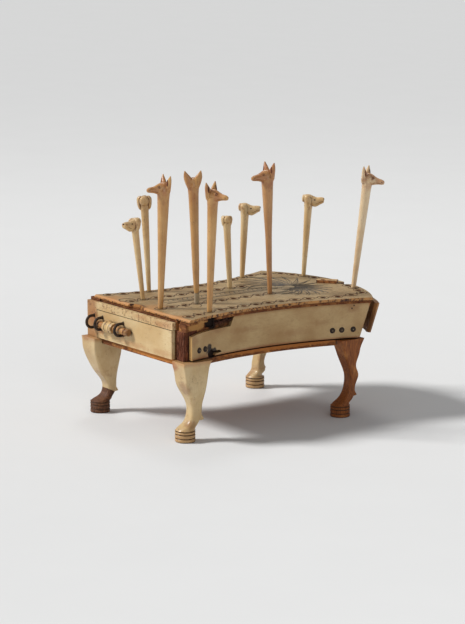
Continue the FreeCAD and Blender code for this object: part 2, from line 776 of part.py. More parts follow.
def dowel_shape(middle_x, hoof_depth, shift):
    inward, behind = shift
    length = size("dowel_length")
    at = Vector(
        middle_x - math.copysign(inward, middle_x), size("front_y") + hoof_depth + behind,
        size("leg_height") - length / 2)
    return Part.makeCylinder(size("dowel_radius"), length, at)


leg_shapes = {name: leg_shape(*spec) for name, spec in LEGS.items()}

# The left front leg is broken off along a sloping line and ends in a restored hoof.
BREAK_SLOPE = 28.0
break_middle = Vector(LEGS["leg_front_left"][0], size("front_y") + 8.0, leg_level(11.0))
above_break = Part.makeBox(40, 60, 60, Vector(-20, -30, 0))
above_break.rotate(Vector(0, 0, 0), Vector(1, 0, 0), -BREAK_SLOPE)
above_break.translate(break_middle)
whole_leg = leg_shapes["leg_front_left"]
leg_shapes["leg_front_left"] = whole_leg.common(above_break)
leg_shapes["hoof_front_left"] = whole_leg.cut(above_break)
for name, shape in leg_shapes.items():
    node(name, doc.addObject("Part::Feature", name)).Shape = shape

leg_dowels = node("leg_dowels", doc.addObject("Part::Feature", "leg_dowels"))
leg_dowels.Shape = Part.makeCompound([
    dowel_shape(spec[0], spec[1], spec[5]) for spec in LEGS.values()])


# Wooden walls behind the panels.
near_wall_run = ahead_of_corners(
    "near_wall_run", ("0 * front_y", WIDE), "post_depth", "leg_height", BOARD_UNDERSIDE)
far_wall_run = ahead_of_corners(
    "far_wall_run", (f"-({WIDE})", "0 * front_y"), "post_depth", "leg_height", BOARD_UNDERSIDE)
near_wall_blank = common("near_wall_blank", wall_ring, near_wall_run)
node("near_side_wall", cut("near_side_wall", near_wall_blank, side_studs, leg_dowels))
far_wall_blank = common("far_wall_blank", wall_ring, far_wall_run)
node("far_side_wall", cut("far_side_wall", far_wall_blank, side_studs, leg_dowels))
back_wall_run = behind_corners(
    "back_wall_run", (f"-({WIDE})", WIDE), "leg_height", BOARD_UNDERSIDE)
node("back_wall", common("back_wall", wall_ring, back_wall_run))


def leg_notch(name):
    """Room for the top of a leg at the edge of the bottom board."""
    middle_x, hoof_depth, sections, breadth, _, _ = LEGS[name]
    _, front, back, half, _ = sections[-1]
    half = half * breadth + size("notch_gap")
    outward = half + (10 if middle_x > 0 else -10)
    low_x = min(middle_x - half, middle_x - half + outward)
    high_x = max(middle_x + half, middle_x - half + outward)
    ahead = 10 if hoof_depth < 50 else 0
    return block(
        name + "_notch", (str(low_x), str(high_x)),
        (f"{hoof_depth + front - ahead} - notch_gap", f"{hoof_depth + back} + notch_gap"),
        ("leg_height - 2 * bottom_thickness", "leg_height + 1"))


# Wooden boards.
bottom_plan = plan(
    "bottom_plan", "base", "bottom_inset", "-bottom_inset", "leg_height - bottom_thickness")
bottom_blank = raised("bottom_blank", bottom_plan, "bottom_thickness")
node("bottom_board", cut("bottom_board", bottom_blank, *[leg_notch(name) for name in LEGS]))

lip_plan = plan("lip_plan", "board", "lip_inset", "lip_inset", "panel_top")
board_lip = raised("board_lip", lip_plan, f"{VENEER_UNDERSIDE} - panel_top")
board_body = common("board_body", case_lining, block(
    "board_levels", (f"-({WIDE})", WIDE), ("0 * front_y", "2 * case_length"),
    (BOARD_UNDERSIDE, "panel_top")))
flared_corner = block(
    "flared_corner", ("front_left + bottom_inset", "opening_left"),
    ("0 * front_y", "corner_depth"), (BOARD_UNDERSIDE, VENEER_UNDERSIDE))
chip = plan_prism("chip", (
    ("-12.6", "-1"),
    ("-10.4", "2.2"),
    ("-5.6", "3.4"),
    ("-1.8", "2.2"),
    ("1.8", "1.4"),
    ("3.6", "-1"),
), (f"{VENEER_UNDERSIDE} - 1.2", "game_height + 1"))
edge_loss = block(
    "edge_loss", ("33.4", WIDE), ("14.6", "21"), (f"{BOARD_UNDERSIDE} - 1", VENEER_UNDERSIDE))
corner_loss = block(
    "corner_loss", ("strip_right + 0.4", "strip_right + 3"), ("-1", "4"),
    (f"{BOARD_UNDERSIDE} - 1", VENEER_UNDERSIDE))
board_blank = fuse("board_blank", board_lip, board_body, flared_corner)
node("top_board", cut(
    "top_board", board_blank, peg_holes, chip, edge_loss, corner_loss))

veneer_plan = plan("veneer_plan", "board", "0 * lip_inset", "0 * lip_inset", VENEER_UNDERSIDE)
veneer_blank = raised("veneer_blank", veneer_plan, "veneer_thickness")
front_bevel = side_prism("front_bevel", (f"-({WIDE})", WIDE), (
    ("-1", "game_height - edge_bevel - 1"),
    ("edge_bevel + 1", "game_height + 1"),
    ("-1", "game_height + 1"),
))
edge_break = plan_prism("edge_break", (
    ("4.6", "132"),
    ("5.2", "124.4"),
    ("9.6", "123.6"),
    ("12.4", "126.6"),
    ("14.6", "132"),
), (f"{VENEER_UNDERSIDE} - 1", "game_height + 1"))
node("top_veneer", cut("top_veneer", veneer_blank, peg_holes, chip, front_bevel, edge_break))

# Broken slab of ivory near the back edge, with its own hole.
tablet = doc.addObject("Part::Box", "tablet_slab")
tablet.Placement.Rotation = FreeCAD.Rotation(Vector(0, 0, 1), 40)
bind(tablet, {
    "Length": "tablet_length",
    "Width": "tablet_width",
    "Height": "tablet_thickness",
    "Placement.Base.x": "-1.3",
    "Placement.Base.y": "front_y + 114.6",
    "Placement.Base.z": "game_height",
})
tablet_hole = rod(
    "tablet_hole", "0.8 * hole_radius", "2 * tablet_thickness", "z", "-0.1", "118.2",
    "game_height - 1")
node("goal_tablet", cut("goal_tablet", tablet, tablet_hole))

# Staples, each a bent wire with two legs driven through the ivory.


def staple(name, x, reach):
    bend = doc.addObject("Part::Torus", name + "_bend")
    bend.Angle3 = 180
    bend.Placement.Rotation = FreeCAD.Rotation(
        Vector(0, 0, 1), Vector(0, -1, 0), Vector(1, 0, 0), "ZXY")
    middle = f"(staple_radius + wire_radius - front_thickness - {reach})"
    bind(bend, {
        "Radius1": "staple_radius",
        "Radius2": "wire_radius",
        "Placement.Base.x": x,
        "Placement.Base.y": f"front_y + {middle}",
        "Placement.Base.z": STAPLE_LEVEL,
    })
    legs = [
        rod(
            f"{name}_leg_{word}", "wire_radius", f"staple_depth - front_thickness - {middle}",
            "y", x, middle, f"{STAPLE_LEVEL} {sign} staple_radius")
        for word, sign in (("low", "-"), ("high", "+"))
    ]
    return fuse(name, bend, *legs)


keeper = node("keeper_staple", staple("keeper_staple", "keeper_x", "keeper_reach"))
left_staple = staple("left_staple", "left_staple_x", "left_staple_reach")
right_staple = staple("right_staple", "right_staple_x", "right_staple_reach")
drawer_staples = node("drawer_staples", group("drawer_staples", left_staple, right_staple))

# Corner posts.
post_levels = ("leg_height", BOARD_UNDERSIDE)
right_post = common("right_post", case_lining, block(
    "right_post_block", ("opening_right + 1.4", "opening_right + 1.4 + post_width"),
    ("0 * front_y", "post_depth"), post_levels))
node("front_right_post", cut("front_right_post", right_post, leg_dowels, side_studs))
left_post_front = block(
    "left_post_front", ("front_left + bottom_inset", "opening_left - 0.3"),
    ("0 * front_y", "corner_depth"), post_levels)
left_post_back = common("left_post_back", case_lining, block(
    "left_post_block", ("opening_left - 1", "opening_left + post_width + 1"),
    ("corner_depth", "post_depth"), post_levels))
left_post = fuse("left_post", left_post_front, left_post_back)
node("front_left_post", cut("front_left_post", left_post, leg_dowels, side_studs, keeper))
for name, side in (("back_right_post", 1), ("back_left_post", -1)):
    reach = ("back_post_inner", WIDE) if side > 0 else (f"-({WIDE})", "-back_post_inner")
    post = common(name + "_blank", case_room, block(
        name + "_block", reach, ("back_post_start", "base_length + 4"), post_levels))
    node(name, cut(name, post, leg_dowels))

# Front strip and stile in one plate, and the drawer.
drawer_front_top = f"{BOARD_UNDERSIDE} - opening_gap"
fascia = plate_body("fascia_plate", (
    ("front_left", "leg_height"),
    ("opening_left", "leg_height"),
    ("opening_left", BOARD_UNDERSIDE),
    ("strip_right", BOARD_UNDERSIDE),
    ("strip_right", "panel_top"),
    ("front_left", "panel_top"),
), "-front_thickness", "front_thickness")
node("front_fascia", cut("front_fascia", fascia, keeper))

drawer_floor = "leg_height + drawer_gap"
drawer_face = plate_body("drawer_face", (
    ("opening_left + opening_gap", drawer_floor),
    ("opening_right - opening_gap", drawer_floor),
    ("opening_right - opening_gap", drawer_front_top),
    ("opening_left + opening_gap", drawer_front_top),
), "-front_thickness", "front_thickness")
node("drawer_front", cut("drawer_front", drawer_face, drawer_staples))
front_board = block(
    "front_board_blank", ("opening_left + opening_gap", "opening_right - opening_gap"),
    ("0 * front_y", "front_board_thickness"), (drawer_floor, drawer_front_top))
node("drawer_front_board", cut("drawer_front_board", front_board, drawer_staples))
drawer_levels = (f"{drawer_floor} + drawer_bottom_thickness", "drawer_top")
drawer_inside = (
    f"{DRAWER_FAR} + drawer_side_thickness", f"{DRAWER_NEAR} - drawer_side_thickness")
node("drawer_bottom", block(
    "drawer_bottom", (DRAWER_FAR, DRAWER_NEAR), ("front_board_thickness", "drawer_length"),
    (drawer_floor, drawer_levels[0])))
node("drawer_side_far", block(
    "drawer_side_far", (DRAWER_FAR, drawer_inside[0]),
    ("front_board_thickness", "drawer_length"), drawer_levels))
node("drawer_side_near", block(
    "drawer_side_near", (drawer_inside[1], DRAWER_NEAR),
    ("front_board_thickness", "drawer_length"), drawer_levels))
node("drawer_back", block(
    "drawer_back", drawer_inside, ("drawer_length - drawer_side_thickness", "drawer_length"),
    drawer_levels))

# Bolt, turned in one piece with a double-ribbed collar that is flat towards the drawer.
bolt_rod = turned_body("bolt_rod", (
    ("0", "0"),
    ("bolt_radius - 0.4", "0"),
    ("bolt_radius", "0.4"),
    ("bolt_radius", "collar_start"),
    ("collar_radius - 0.3", "collar_start"),
    ("collar_radius", "collar_start + collar_length / 8"),
    ("collar_radius - 0.5", "collar_start + collar_length / 4"),
    ("collar_radius", "collar_start + collar_length * 3 / 8"),
    ("collar_radius - 0.5", "collar_start + collar_length / 2"),
    ("collar_radius - 0.1", "collar_start + collar_length * 3 / 4"),
    ("collar_radius - 0.4", "collar_start + collar_length"),
    ("bolt_radius", "collar_start + collar_length"),
    ("bolt_radius", "bolt_length - 0.4"),
    ("bolt_radius - 0.4", "bolt_length"),
    ("0", "bolt_length"),
))
bolt_rod.Placement.Rotation = FreeCAD.Rotation(Vector(0, 1, 0), 90)
bind(bolt_rod, {
    "Placement.Base.x": "bolt_left",
    "Placement.Base.y": "front_y - front_thickness - bolt_seat_gap - bolt_radius",
    "Placement.Base.z":
        f"{STAPLE_LEVEL} - staple_radius + wire_radius + bolt_seat_gap + bolt_radius",
})
behind_bolt = block(
    "behind_bolt", ("bolt_left - 1", "bolt_left + bolt_length + 1"),
    ("-front_thickness - bolt_seat_gap", "front_thickness"),
    ("leg_height", "panel_top"))
node("bolt", cut("bolt", bolt_rod, behind_bolt))

# Heads of the pins, each about a middle of its own that looks along +X.


def oval(middle, across, upward):
    """Smooth closed section spanned by two half axes."""
    points = [
        middle + across * math.cos(math.pi / 4 * step) + upward * math.sin(math.pi / 4 * step)
        for step in range(8)
    ]
    curve = Part.BSplineCurve()
    curve.interpolate(points, PeriodicFlag=True)
    return Part.Wire([curve.toShape()])


def muzzle_loft(sections):
    """Skull and muzzle from upright ovals: place, height of the middle, half width and height."""
    return Part.makeLoft([
        oval(Vector(x, 0, z), Vector(0, wide, 0), Vector(0, 0, high))
        for x, z, wide, high in sections
    ], True, False)


def ear_loft(side, sections):
    """Ear from level ovals: place, how far aside, height, half length and half thickness."""
    return Part.makeLoft([
        oval(Vector(x, side * aside, z), Vector(long, 0, 0), Vector(0, thick, 0))
        for x, aside, z, long, thick in sections
    ], True, False)


JACKAL_SKULL = (
    (-2.5, 0.0, 1.6, 1.6),
    (-1.2, 0.0, 2.6, 2.4),
    (0.8, -0.2, 2.8, 2.8),
    (3.2, -0.8, 2.1, 2.6),
    (5.6, -1.0, 1.45, 1.75),
    (8.1, -1.1, 1.2, 1.35),
    (9.1, -1.2, 0.9, 0.95),
)
JACKAL_EAR = (
    (-1.2, 1.5, -3.0, 1.4, 1.4),
    (-1.3, 2.0, -0.5, 1.5, 1.9),
    (-1.3, 2.4, 1.6, 1.35, 2.15),
    (-1.4, 3.1, 3.4, 1.05, 1.65),
    (-1.5, 3.7, 4.9, 0.65, 0.9),
    (-1.6, 4.1, 6.2, 0.2, 0.2),
)
HOUND_SKULL = (
    (-3.0, 0.3, 1.9, 1.9),
    (-1.6, 0.1, 2.4, 2.4),
    (1.2, -0.4, 2.5, 2.8),
    (3.6, -1.2, 2.0, 2.8),
    (5.4, -0.8, 1.8, 2.4),
    (7.0, -0.2, 1.6, 1.85),
    (8.0, 0.0, 1.4, 1.5),
)
HOUND_EAR = (
    (-0.5, 1.9, 2.3, 1.2, 0.8),
    (-0.3, 2.4, 1.1, 1.8, 1.1),
    (0.0, 2.5, -0.9, 1.8, 1.0),
    (0.3, 2.3, -2.8, 1.3, 0.85),
    (0.5, 1.9, -4.2, 0.6, 0.45),
)


def head_shape(skull, ear, scale, heading, stand):
    """Head with both ears, turned to its heading and lifted to the end of its shaft."""
    pieces = [muzzle_loft(skull), ear_loft(1, ear), ear_loft(-1, ear)]
    head = pieces[0].fuse(pieces[1:])
    change = FreeCAD.Matrix()
    change.scale(scale, scale, scale)
    change.rotateZ(math.radians(heading))
    change.move(Vector(0, 0, stand))
    return head.transformGeometry(change)


def shaft_profile(name, stand, neck_radius, stoutness):
    """Tapered shaft from the tip in the hole to the flare that carries the head."""
    depth = "(hole_depth - tip_gap)"
    foot, halfway, neck = (str(share) for share in stoutness)
    nape = (
        (f"{neck} * {neck_radius}", f"{stand - 6}"),
        (f"{neck} * {neck_radius} + neck_flare", f"{stand - 1.8}"),
        (f"{neck} * {neck_radius} - 0.3", f"{stand + 0.8}"),
        ("0", f"{stand + 0.8}"),
    )
    if name == WORN_PIN:
        return (
            ("0", f"-{depth}"), ("0.35", f"-{depth}"), ("0.45", "0.5"), ("1.4", "8"),
            ("1.85", "19"), ("2.15", "38"), *nape)
    return (
        ("0", f"-{depth}"),
        ("tip_radius", f"-{depth}"),
        (f"{foot} * shaft_low_radius", "0"),
        (f"{halfway} * ({neck_radius} + shaft_low_radius) / 2 + 0.2", f"{stand * 0.5}"),
        *nape,
    )


for name, spot, stand, lean, heading, scale, stoutness in PINS:
    jackal = name.startswith("jackal")
    neck_radius = "jackal_neck_radius" if jackal else "hound_neck_radius"
    skull, ear = (JACKAL_SKULL, JACKAL_EAR) if jackal else (HOUND_SKULL, HOUND_EAR)
    placement = pin_placement(spot, lean)
    shaft = turned_body(name + "_shaft", shaft_profile(name, stand, neck_radius, stoutness))
    shaft.Placement = placement
    head = doc.addObject("Part::Feature", name + "_head")
    head.Shape = head_shape(skull, ear, scale, heading, stand)
    head.Placement = placement
    node(name, fuse(name, shaft, head))

# Clear fill round the worn tip, from inside the hole to just above the playing surface.
worn_spot, worn_lean = next(pin[1:4:2] for pin in PINS if pin[0] == WORN_PIN)
fill = turned_body("fill_cone", (
    ("0", "-hole_depth + tip_gap"),
    ("tip_radius", "-hole_depth + tip_gap"),
    ("shaft_low_radius", "0"),
    ("shaft_low_radius + 0.25", "5.5"),
    ("0", "5.5"),
))
fill.Placement = pin_placement(worn_spot, worn_lean)
node("pin_tip_fill", cut("pin_tip_fill", fill, nodes[WORN_PIN]))

doc.recompute()

failed = [thing.Name for thing in doc.Objects if {"Invalid", "Error"} & set(thing.State)]
if failed:
    raise RuntimeError(f"objects that did not compute: {failed}")
for name, thing in nodes.items():
    if thing.Shape.isNull() or not thing.Shape.isValid() or not thing.Shape.Solids:
        raise RuntimeError(f"{name} has no valid solid")

os.makedirs("parts", exist_ok=True)
for name, thing in nodes.items():
    thing.Shape.exportStep(f"parts/{name}.step")
whole = Part.makeCompound([thing.Shape for thing in nodes.values()]).BoundBox
print(f"{len(nodes)} sub-parts")
print(f"x {whole.XMin:.2f} to {whole.XMax:.2f}, y {whole.YMin:.2f} to {whole.YMax:.2f}, "
      f"z {whole.ZMin:.2f} to {whole.ZMax:.2f}")
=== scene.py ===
"""Hounds and jackals game: finishes, incised ornament and carving details around the CAD frame."""

import json
import math
import random

import bmesh
import bpy
from bpy.props import FloatProperty, FloatVectorProperty, IntProperty, PointerProperty
from mathutils import Matrix, Vector
from mathutils.bvhtree import BVHTree


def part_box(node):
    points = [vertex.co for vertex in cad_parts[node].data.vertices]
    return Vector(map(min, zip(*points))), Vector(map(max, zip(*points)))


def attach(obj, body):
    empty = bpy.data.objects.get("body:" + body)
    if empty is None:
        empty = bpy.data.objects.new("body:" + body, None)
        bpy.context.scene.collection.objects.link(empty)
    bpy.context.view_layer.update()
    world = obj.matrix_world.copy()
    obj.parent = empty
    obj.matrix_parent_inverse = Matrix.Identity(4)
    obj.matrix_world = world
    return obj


bl_info = {
    "name": "Hounds and jackals game",
    "version": (1, 0, 0),
    "blender": (4, 5, 0),
    "location": "View3D > Sidebar > Game box",
    "description": "Finishes and carving of an ancient peg game box",
    "category": "Object",
}

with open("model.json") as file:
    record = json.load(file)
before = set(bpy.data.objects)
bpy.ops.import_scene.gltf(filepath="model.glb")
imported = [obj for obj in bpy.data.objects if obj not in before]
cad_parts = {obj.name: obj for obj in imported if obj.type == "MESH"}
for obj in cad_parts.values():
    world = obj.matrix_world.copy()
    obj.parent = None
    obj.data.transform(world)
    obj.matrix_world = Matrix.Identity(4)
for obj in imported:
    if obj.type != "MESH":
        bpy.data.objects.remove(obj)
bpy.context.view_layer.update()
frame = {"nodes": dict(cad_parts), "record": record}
NODES = frame["nodes"]
MM = 0.001
TOP_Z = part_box("top_veneer")[1].z

# Pins: hole in plan in mm, height of the head, lean, heading and size, as the CAD sets them.
PINS = {
    "jackal_pin_1": (9.1, -56.3, 62.4, 0.031, -97, 1.0),
    "jackal_pin_2": (8.5, -33.21, 62.9, -0.027, 144, 1.0),
    "jackal_pin_3": (30.7, -41.04, 60.2, 0.03, 20, 0.98),
    "jackal_pin_4": (8.5, 13.77, 63.0, -0.025, -92, 1.04),
    "jackal_pin_5": (21.36, 59.72, 59.4, 0.119, 32, 1.0),
    "hound_pin_1": (-17.1, -49.37, 40.4, -0.103, -76, 1.0),
    "hound_pin_2": (-33.56, -34.41, 48.4, -0.045, 144, 1.12),
    "hound_pin_3": (-16.5, 5.94, 36.8, -0.045, 160, 0.85),
    "hound_pin_4": (-37.59, 29.43, 38.4, 0.042, 44, 1.0),
    "hound_pin_5": (-22.16, 59.72, 42.4, 0.062, 44, 1.0),
}
LEAN_HEADING = math.radians(54.0)


def rgb(colour):
    """A colour as it is seen, 0 to 255, turned into scene values."""
    return tuple(
        c / 12.92 if c <= 0.04045 else ((c + 0.055) / 1.055) ** 2.4
        for c in (value / 255 for value in colour))


# Finishes.

# How ragged a patch's edge is, the roughness under which ivory is polished, and how dark the
# painted shade in seams and the pores are beside the dark tone.
UNEVEN, POLISHED = 1.1, 0.3
IVORY_PAINTED_SHADE, WOOD_PAINTED_SHADE, WOOD_PORE = 0.22, 0.15, 0.3


class Finish:
    """A material being built from nodes, in mm along the object's own axes."""

    def __init__(self, name):
        self.material = bpy.data.materials.new(name)
        self.material.use_nodes = True
        self.tree = self.material.node_tree
        self.shader = self.tree.nodes["Principled BSDF"]
        place = self.node("TexCoord").outputs["Object"]
        self.place = self.node("Mapping", Vector=place, Scale=(1 / MM,) * 3)
        self.colour = None

    def node(self, kind, settings=None, *first, **named):
        """A new shader node, its settings, and what its sockets take, in order or by name."""
        made = self.tree.nodes.new("ShaderNode" + kind)
        for key, value in (settings or {}).items():
            setattr(made, key, value)
        for socket, value in zip(made.inputs, first):
            self.feed(socket, value)
        for key, value in named.items():
            self.feed(made.inputs[key.replace("_", " ")], value)
        return made

    def feed(self, socket, value):
        """Links a socket to another or to a node's first output, or sets it to a value."""
        if isinstance(value, bpy.types.NodeSocket):
            self.tree.links.new(value, socket)
        elif isinstance(value, bpy.types.Node):
            self.tree.links.new(value.outputs[0], socket)
        elif socket.type == "RGBA" and isinstance(value, tuple):
            socket.default_value = (*value, 1)
        else:
            socket.default_value = value

    def math(self, operation, first, second=0.0, clamp=False):
        return self.node("Math", {"operation": operation, "use_clamp": clamp}, first, second)

    def noise(self, scale, stretch=(1, 1, 1), detail=4.0, rough=0.6, distort=0.0, shift=0.0):
        """Noise of that many cells a mm, stretched along the axes."""
        place = (shift, shift * 0.7, shift * 1.3)
        warp = self.node("Mapping", Vector=self.place, Scale=stretch, Location=place)
        return self.node(
            "TexNoise", Vector=warp, Scale=scale, Detail=detail, Roughness=rough,
            Distortion=distort)

    def band(self, value, low, high):
        """0 under low, 1 over high, smooth between."""
        return self.node("MapRange", {"interpolation_type": "SMOOTHSTEP"}, value, low, high)

    def below(self, value, low, high):
        """1 under low, 0 over high, smooth between."""
        return self.math("SUBTRACT", 1.0, self.band(value, low, high), clamp=True)

    def blots(self, scale, shift, low, high, detail=6.0, rough=0.7, stretch=(1, 1, 1)):
        """1 in blots of noise, 0 between them."""
        return self.band(self.noise(scale, stretch, detail, rough, shift=shift), low, high)

    def mix(self, factor, first, second):
        made = self.node("Mix", {"data_type": "RGBA"})
        for socket, value in ((0, factor), (6, first), (7, second)):
            self.feed(made.inputs[socket], value)
        return made.outputs[2]

    def start(self, mask, first, second):
        """Two colours, as seen, mixed by a mask."""
        self.colour = self.mix(mask, rgb(first), rgb(second))

    def tint(self, colour, *masks, shade=1.0):
        """Lays a colour, as seen, over what is there, through its masks multiplied."""
        amount = masks[0]
        for mask in masks[1:]:
            amount = self.math("MULTIPLY", amount, mask)
        self.colour = self.mix(amount, self.colour, tuple(c * shade for c in rgb(colour)))

    def patches(self, soft, colour, *rows):
        """Uneven patches of a colour: middle and reach in mm, strength."""
        for point, reach, amount in rows:
            self.tint(colour, self.near(point, reach, soft), amount)

    def axis(self, name):
        return self.node("SeparateXYZ", Vector=self.place).outputs[name]

    def vector(self, operation, first, second=(0, 0, 0)):
        return self.node("VectorMath", {"operation": operation}, first, second)

    def near(self, point, reach, soft):
        """1 at a point in mm, 0 outside its uneven reach."""
        away = self.vector("SUBTRACT", self.place, point)
        away = self.vector("DIVIDE", away, reach if isinstance(reach, tuple) else (reach,) * 3)
        length = self.vector("LENGTH", away).outputs["Value"]
        shift = self.math("SUBTRACT", self.noise(0.35, detail=5), 0.5)
        ragged = self.math("ADD", length, self.math("MULTIPLY", shift, UNEVEN))
        return self.below(ragged, 1.0 - soft, 1.0)

    def walls(self):
        """1 on upright faces, 0 on level ones."""
        facing = self.node("NewGeometry").outputs["True Normal"]
        level = self.node("SeparateXYZ", Vector=facing).outputs["Z"]
        return self.below(self.math("ABSOLUTE", level), 0.3, 0.6)

    def painted_shade(self, distance, amount, low=0.15, high=0.85):
        """Painted shade: 1 where ambient occlusion finds corners and seams, times the amount."""
        occlusion = self.node("AmbientOcclusion", {"samples": 6}, Distance=distance * MM)
        shade = self.math("SUBTRACT", 1.0, occlusion.outputs["AO"], clamp=True)
        return self.math("MULTIPLY", self.band(shade, low, high), amount, clamp=True)

    def set(self, **values):
        """Gives the shader's sockets what they take."""
        for name, value in values.items():
            self.feed(self.shader.inputs[name.replace("_", " ")], value)

    def bump(self, height, distance, strength):
        """Adds relief, its depth in mm, to what the shader has."""
        before = self.shader.inputs["Normal"].links
        made = self.node("Bump", Height=height, Distance=distance * MM, Strength=strength)
        if before:
            self.feed(made.inputs["Normal"], before[0].from_socket)
        self.set(Normal=made)

    def done(self, roughness):
        self.set(Base_Color=self.colour, Roughness=roughness)
        return self.material


def ivory(name, pale, warm, dark, grain, stain, pits, roughness, seam_shade, extra):
    """Aged ivory: tone drift, fine lines along the grain, pits and painted shade in the seams."""
    make = Finish(name)
    drift = make.noise(0.055, detail=5, rough=0.55, shift=3)
    make.start(make.band(drift, 0.3, 0.72), pale, warm)
    lines = make.noise(0.9, grain, detail=5, rough=0.7, distort=0.25)
    make.tint(warm, make.band(lines, 0.42, 0.7), 0.55)
    cracks = make.noise(0.5, grain, detail=3, rough=0.55, distort=0.4, shift=11)
    crack = make.below(make.math("ABSOLUTE", make.math("SUBTRACT", cracks, 0.5)), 0.0, 0.008)
    crack = make.math("MULTIPLY", crack, make.band(make.noise(0.08, shift=17), 0.5, 0.62))
    make.tint(dark, crack, 0.35)
    make.tint(dark, make.blots(0.16, 23, 0.58, 0.8, rough=0.68), stain)
    spots = make.node("TexVoronoi", Vector=make.place, Scale=0.42)
    pit = make.below(spots.outputs["Distance"], 0.05, 0.16)
    pit = make.math("MULTIPLY", pit, make.band(make.noise(0.13, shift=31), 0.5, 0.6))
    make.tint(dark, pit, pits)
    extra(make)
    # Painted shade: the dark tone, darker still, where ambient occlusion finds corners and seams.
    make.tint(dark, make.painted_shade(1.6, seam_shade), shade=IVORY_PAINTED_SHADE)
    make.bump(lines, 0.035, 0.6)
    make.bump(make.math("SUBTRACT", 1.0, make.math("ADD", pit, crack)), 0.09, 0.7)
    make.bump(make.noise(0.35, detail=3, shift=7), 0.10, 0.5)
    make.set(
        Specular_IOR_Level=0.45, Coat_Weight=0.25 if roughness < POLISHED else 0.0,
        Coat_Roughness=0.22, Subsurface_Weight=0.06, Subsurface_Radius=(0.9, 0.5, 0.3),
        Subsurface_Scale=1.2 * MM)
    uneven = make.math("MULTIPLY", make.noise(0.8, shift=41), 0.24)
    return make.done(make.math("ADD", roughness, uneven))


def wood(name, pale, mid, dark, grain, roughness, wear, extra=None):
    """Old wood: growth lines, pores, worn patches and painted shade in the seams."""
    make = Finish(name)
    lines = make.noise(0.75, grain, detail=6, rough=0.65, distort=0.5)
    make.start(make.band(lines, 0.32, 0.68), dark, mid)
    make.tint(pale, make.blots(0.12, 5, 0.5, 0.75, rough=0.6), wear)
    pores = make.noise(3.0, grain, detail=2, shift=9)
    pore = make.band(pores, 0.6, 0.7)
    make.tint(dark, pore, 0.6, shade=WOOD_PORE)
    if extra:
        extra(make)
    # Painted shade: the dark tone, darker still, where ambient occlusion finds corners and seams.
    make.tint(dark, make.painted_shade(1.8, 0.85), shade=WOOD_PAINTED_SHADE)
    make.bump(lines, 0.12, 0.8)
    make.bump(pore, 0.05, -0.6)
    make.set(Specular_IOR_Level=0.3)
    uneven = make.math("MULTIPLY", make.noise(0.5, shift=15), 0.2)
    return make.done(make.math("ADD", roughness, uneven))


def corroded(name):
    """Dark corroded wire, nearly black with brown crust."""
    make = Finish(name)
    crust = make.noise(0.9, detail=6, rough=0.7)
    make.start(make.band(crust, 0.4, 0.62), (28, 23, 19), (74, 52, 34))
    make.tint((120, 84, 50), make.blots(1.7, 4, 0.64, 0.72, 4.0, 0.6), 0.6)
    make.bump(crust, 0.35, 0.9)
    make.set(Metallic=0.35)
    return make.done(make.math("ADD", 0.45, make.math("MULTIPLY", crust, 0.3)))


def clear_fill(name):
    """Cloudy clear fill."""
    make = Finish(name)
    haze = make.noise(0.6, detail=3)
    make.start(haze, (214, 200, 172), (184, 164, 132))
    make.set(Transmission_Weight=0.3, IOR=1.45)
    make.bump(haze, 0.08, 0.4)
    return make.done(make.math("ADD", 0.16, make.math("MULTIPLY", haze, 0.12)))


def incised(name, colour, second):
    """Dark paste left in an incised line, worn thin in places, and painted shade in the peg holes.
    """
    make = Finish(name)
    worn = make.noise(0.5, detail=5, rough=0.7)
    make.start(make.band(worn, 0.35, 0.65), colour, second)
    make.bump(make.noise(2.5), 0.05, 0.6)
    return make.done(make.math("ADD", 0.7, make.math("MULTIPLY", worn, 0.2)))


ALONG_Y = (3.2, 0.28, 3.2)
ALONG_X = (0.28, 3.2, 3.2)
ALONG_Z = (3.0, 3.0, 0.22)


def top_extra(make):
    """The playing surface: greyer in the middle, brown dirt, orange worn edges."""
    make.tint((120, 84, 50), make.blots(0.3, 71, 0.54, 0.7, 7, 0.75), 0.38)
    make.patches(0.8, (150, 134, 106), ((2, 25, 63), (30, 34, 30), 0.55))
    make.tint((90, 72, 50), make.blots(0.9, 73, 0.5, 0.66, 5, stretch=ALONG_Y), 0.6)
    make.tint((74, 44, 24), make.blots(0.75, 76, 0.58, 0.68), 0.6)
    make.tint((214, 196, 158), make.blots(0.8, 75, 0.54, 0.66, 5, stretch=ALONG_Y), 0.45)
    make.tint((196, 132, 66), make.below(make.axis("Y"), -62.3, -59.4), 0.75)
    make.patches(
        0.7, (178, 118, 54), ((4, -58, 63), 10, 0.55), ((32, -60, 63), 5, 0.55),
        ((-30, -60, 62), 8, 0.55))
    make.patches(0.6, (92, 52, 26), ((-4, -60.5, 63), (8, 3.6, 3), 0.75))
    wall = make.walls()
    make.tint((196, 136, 72), wall, 0.85)
    make.tint((66, 34, 18), wall, make.blots(0.42, 77, 0.46, 0.58, 7, 0.75))


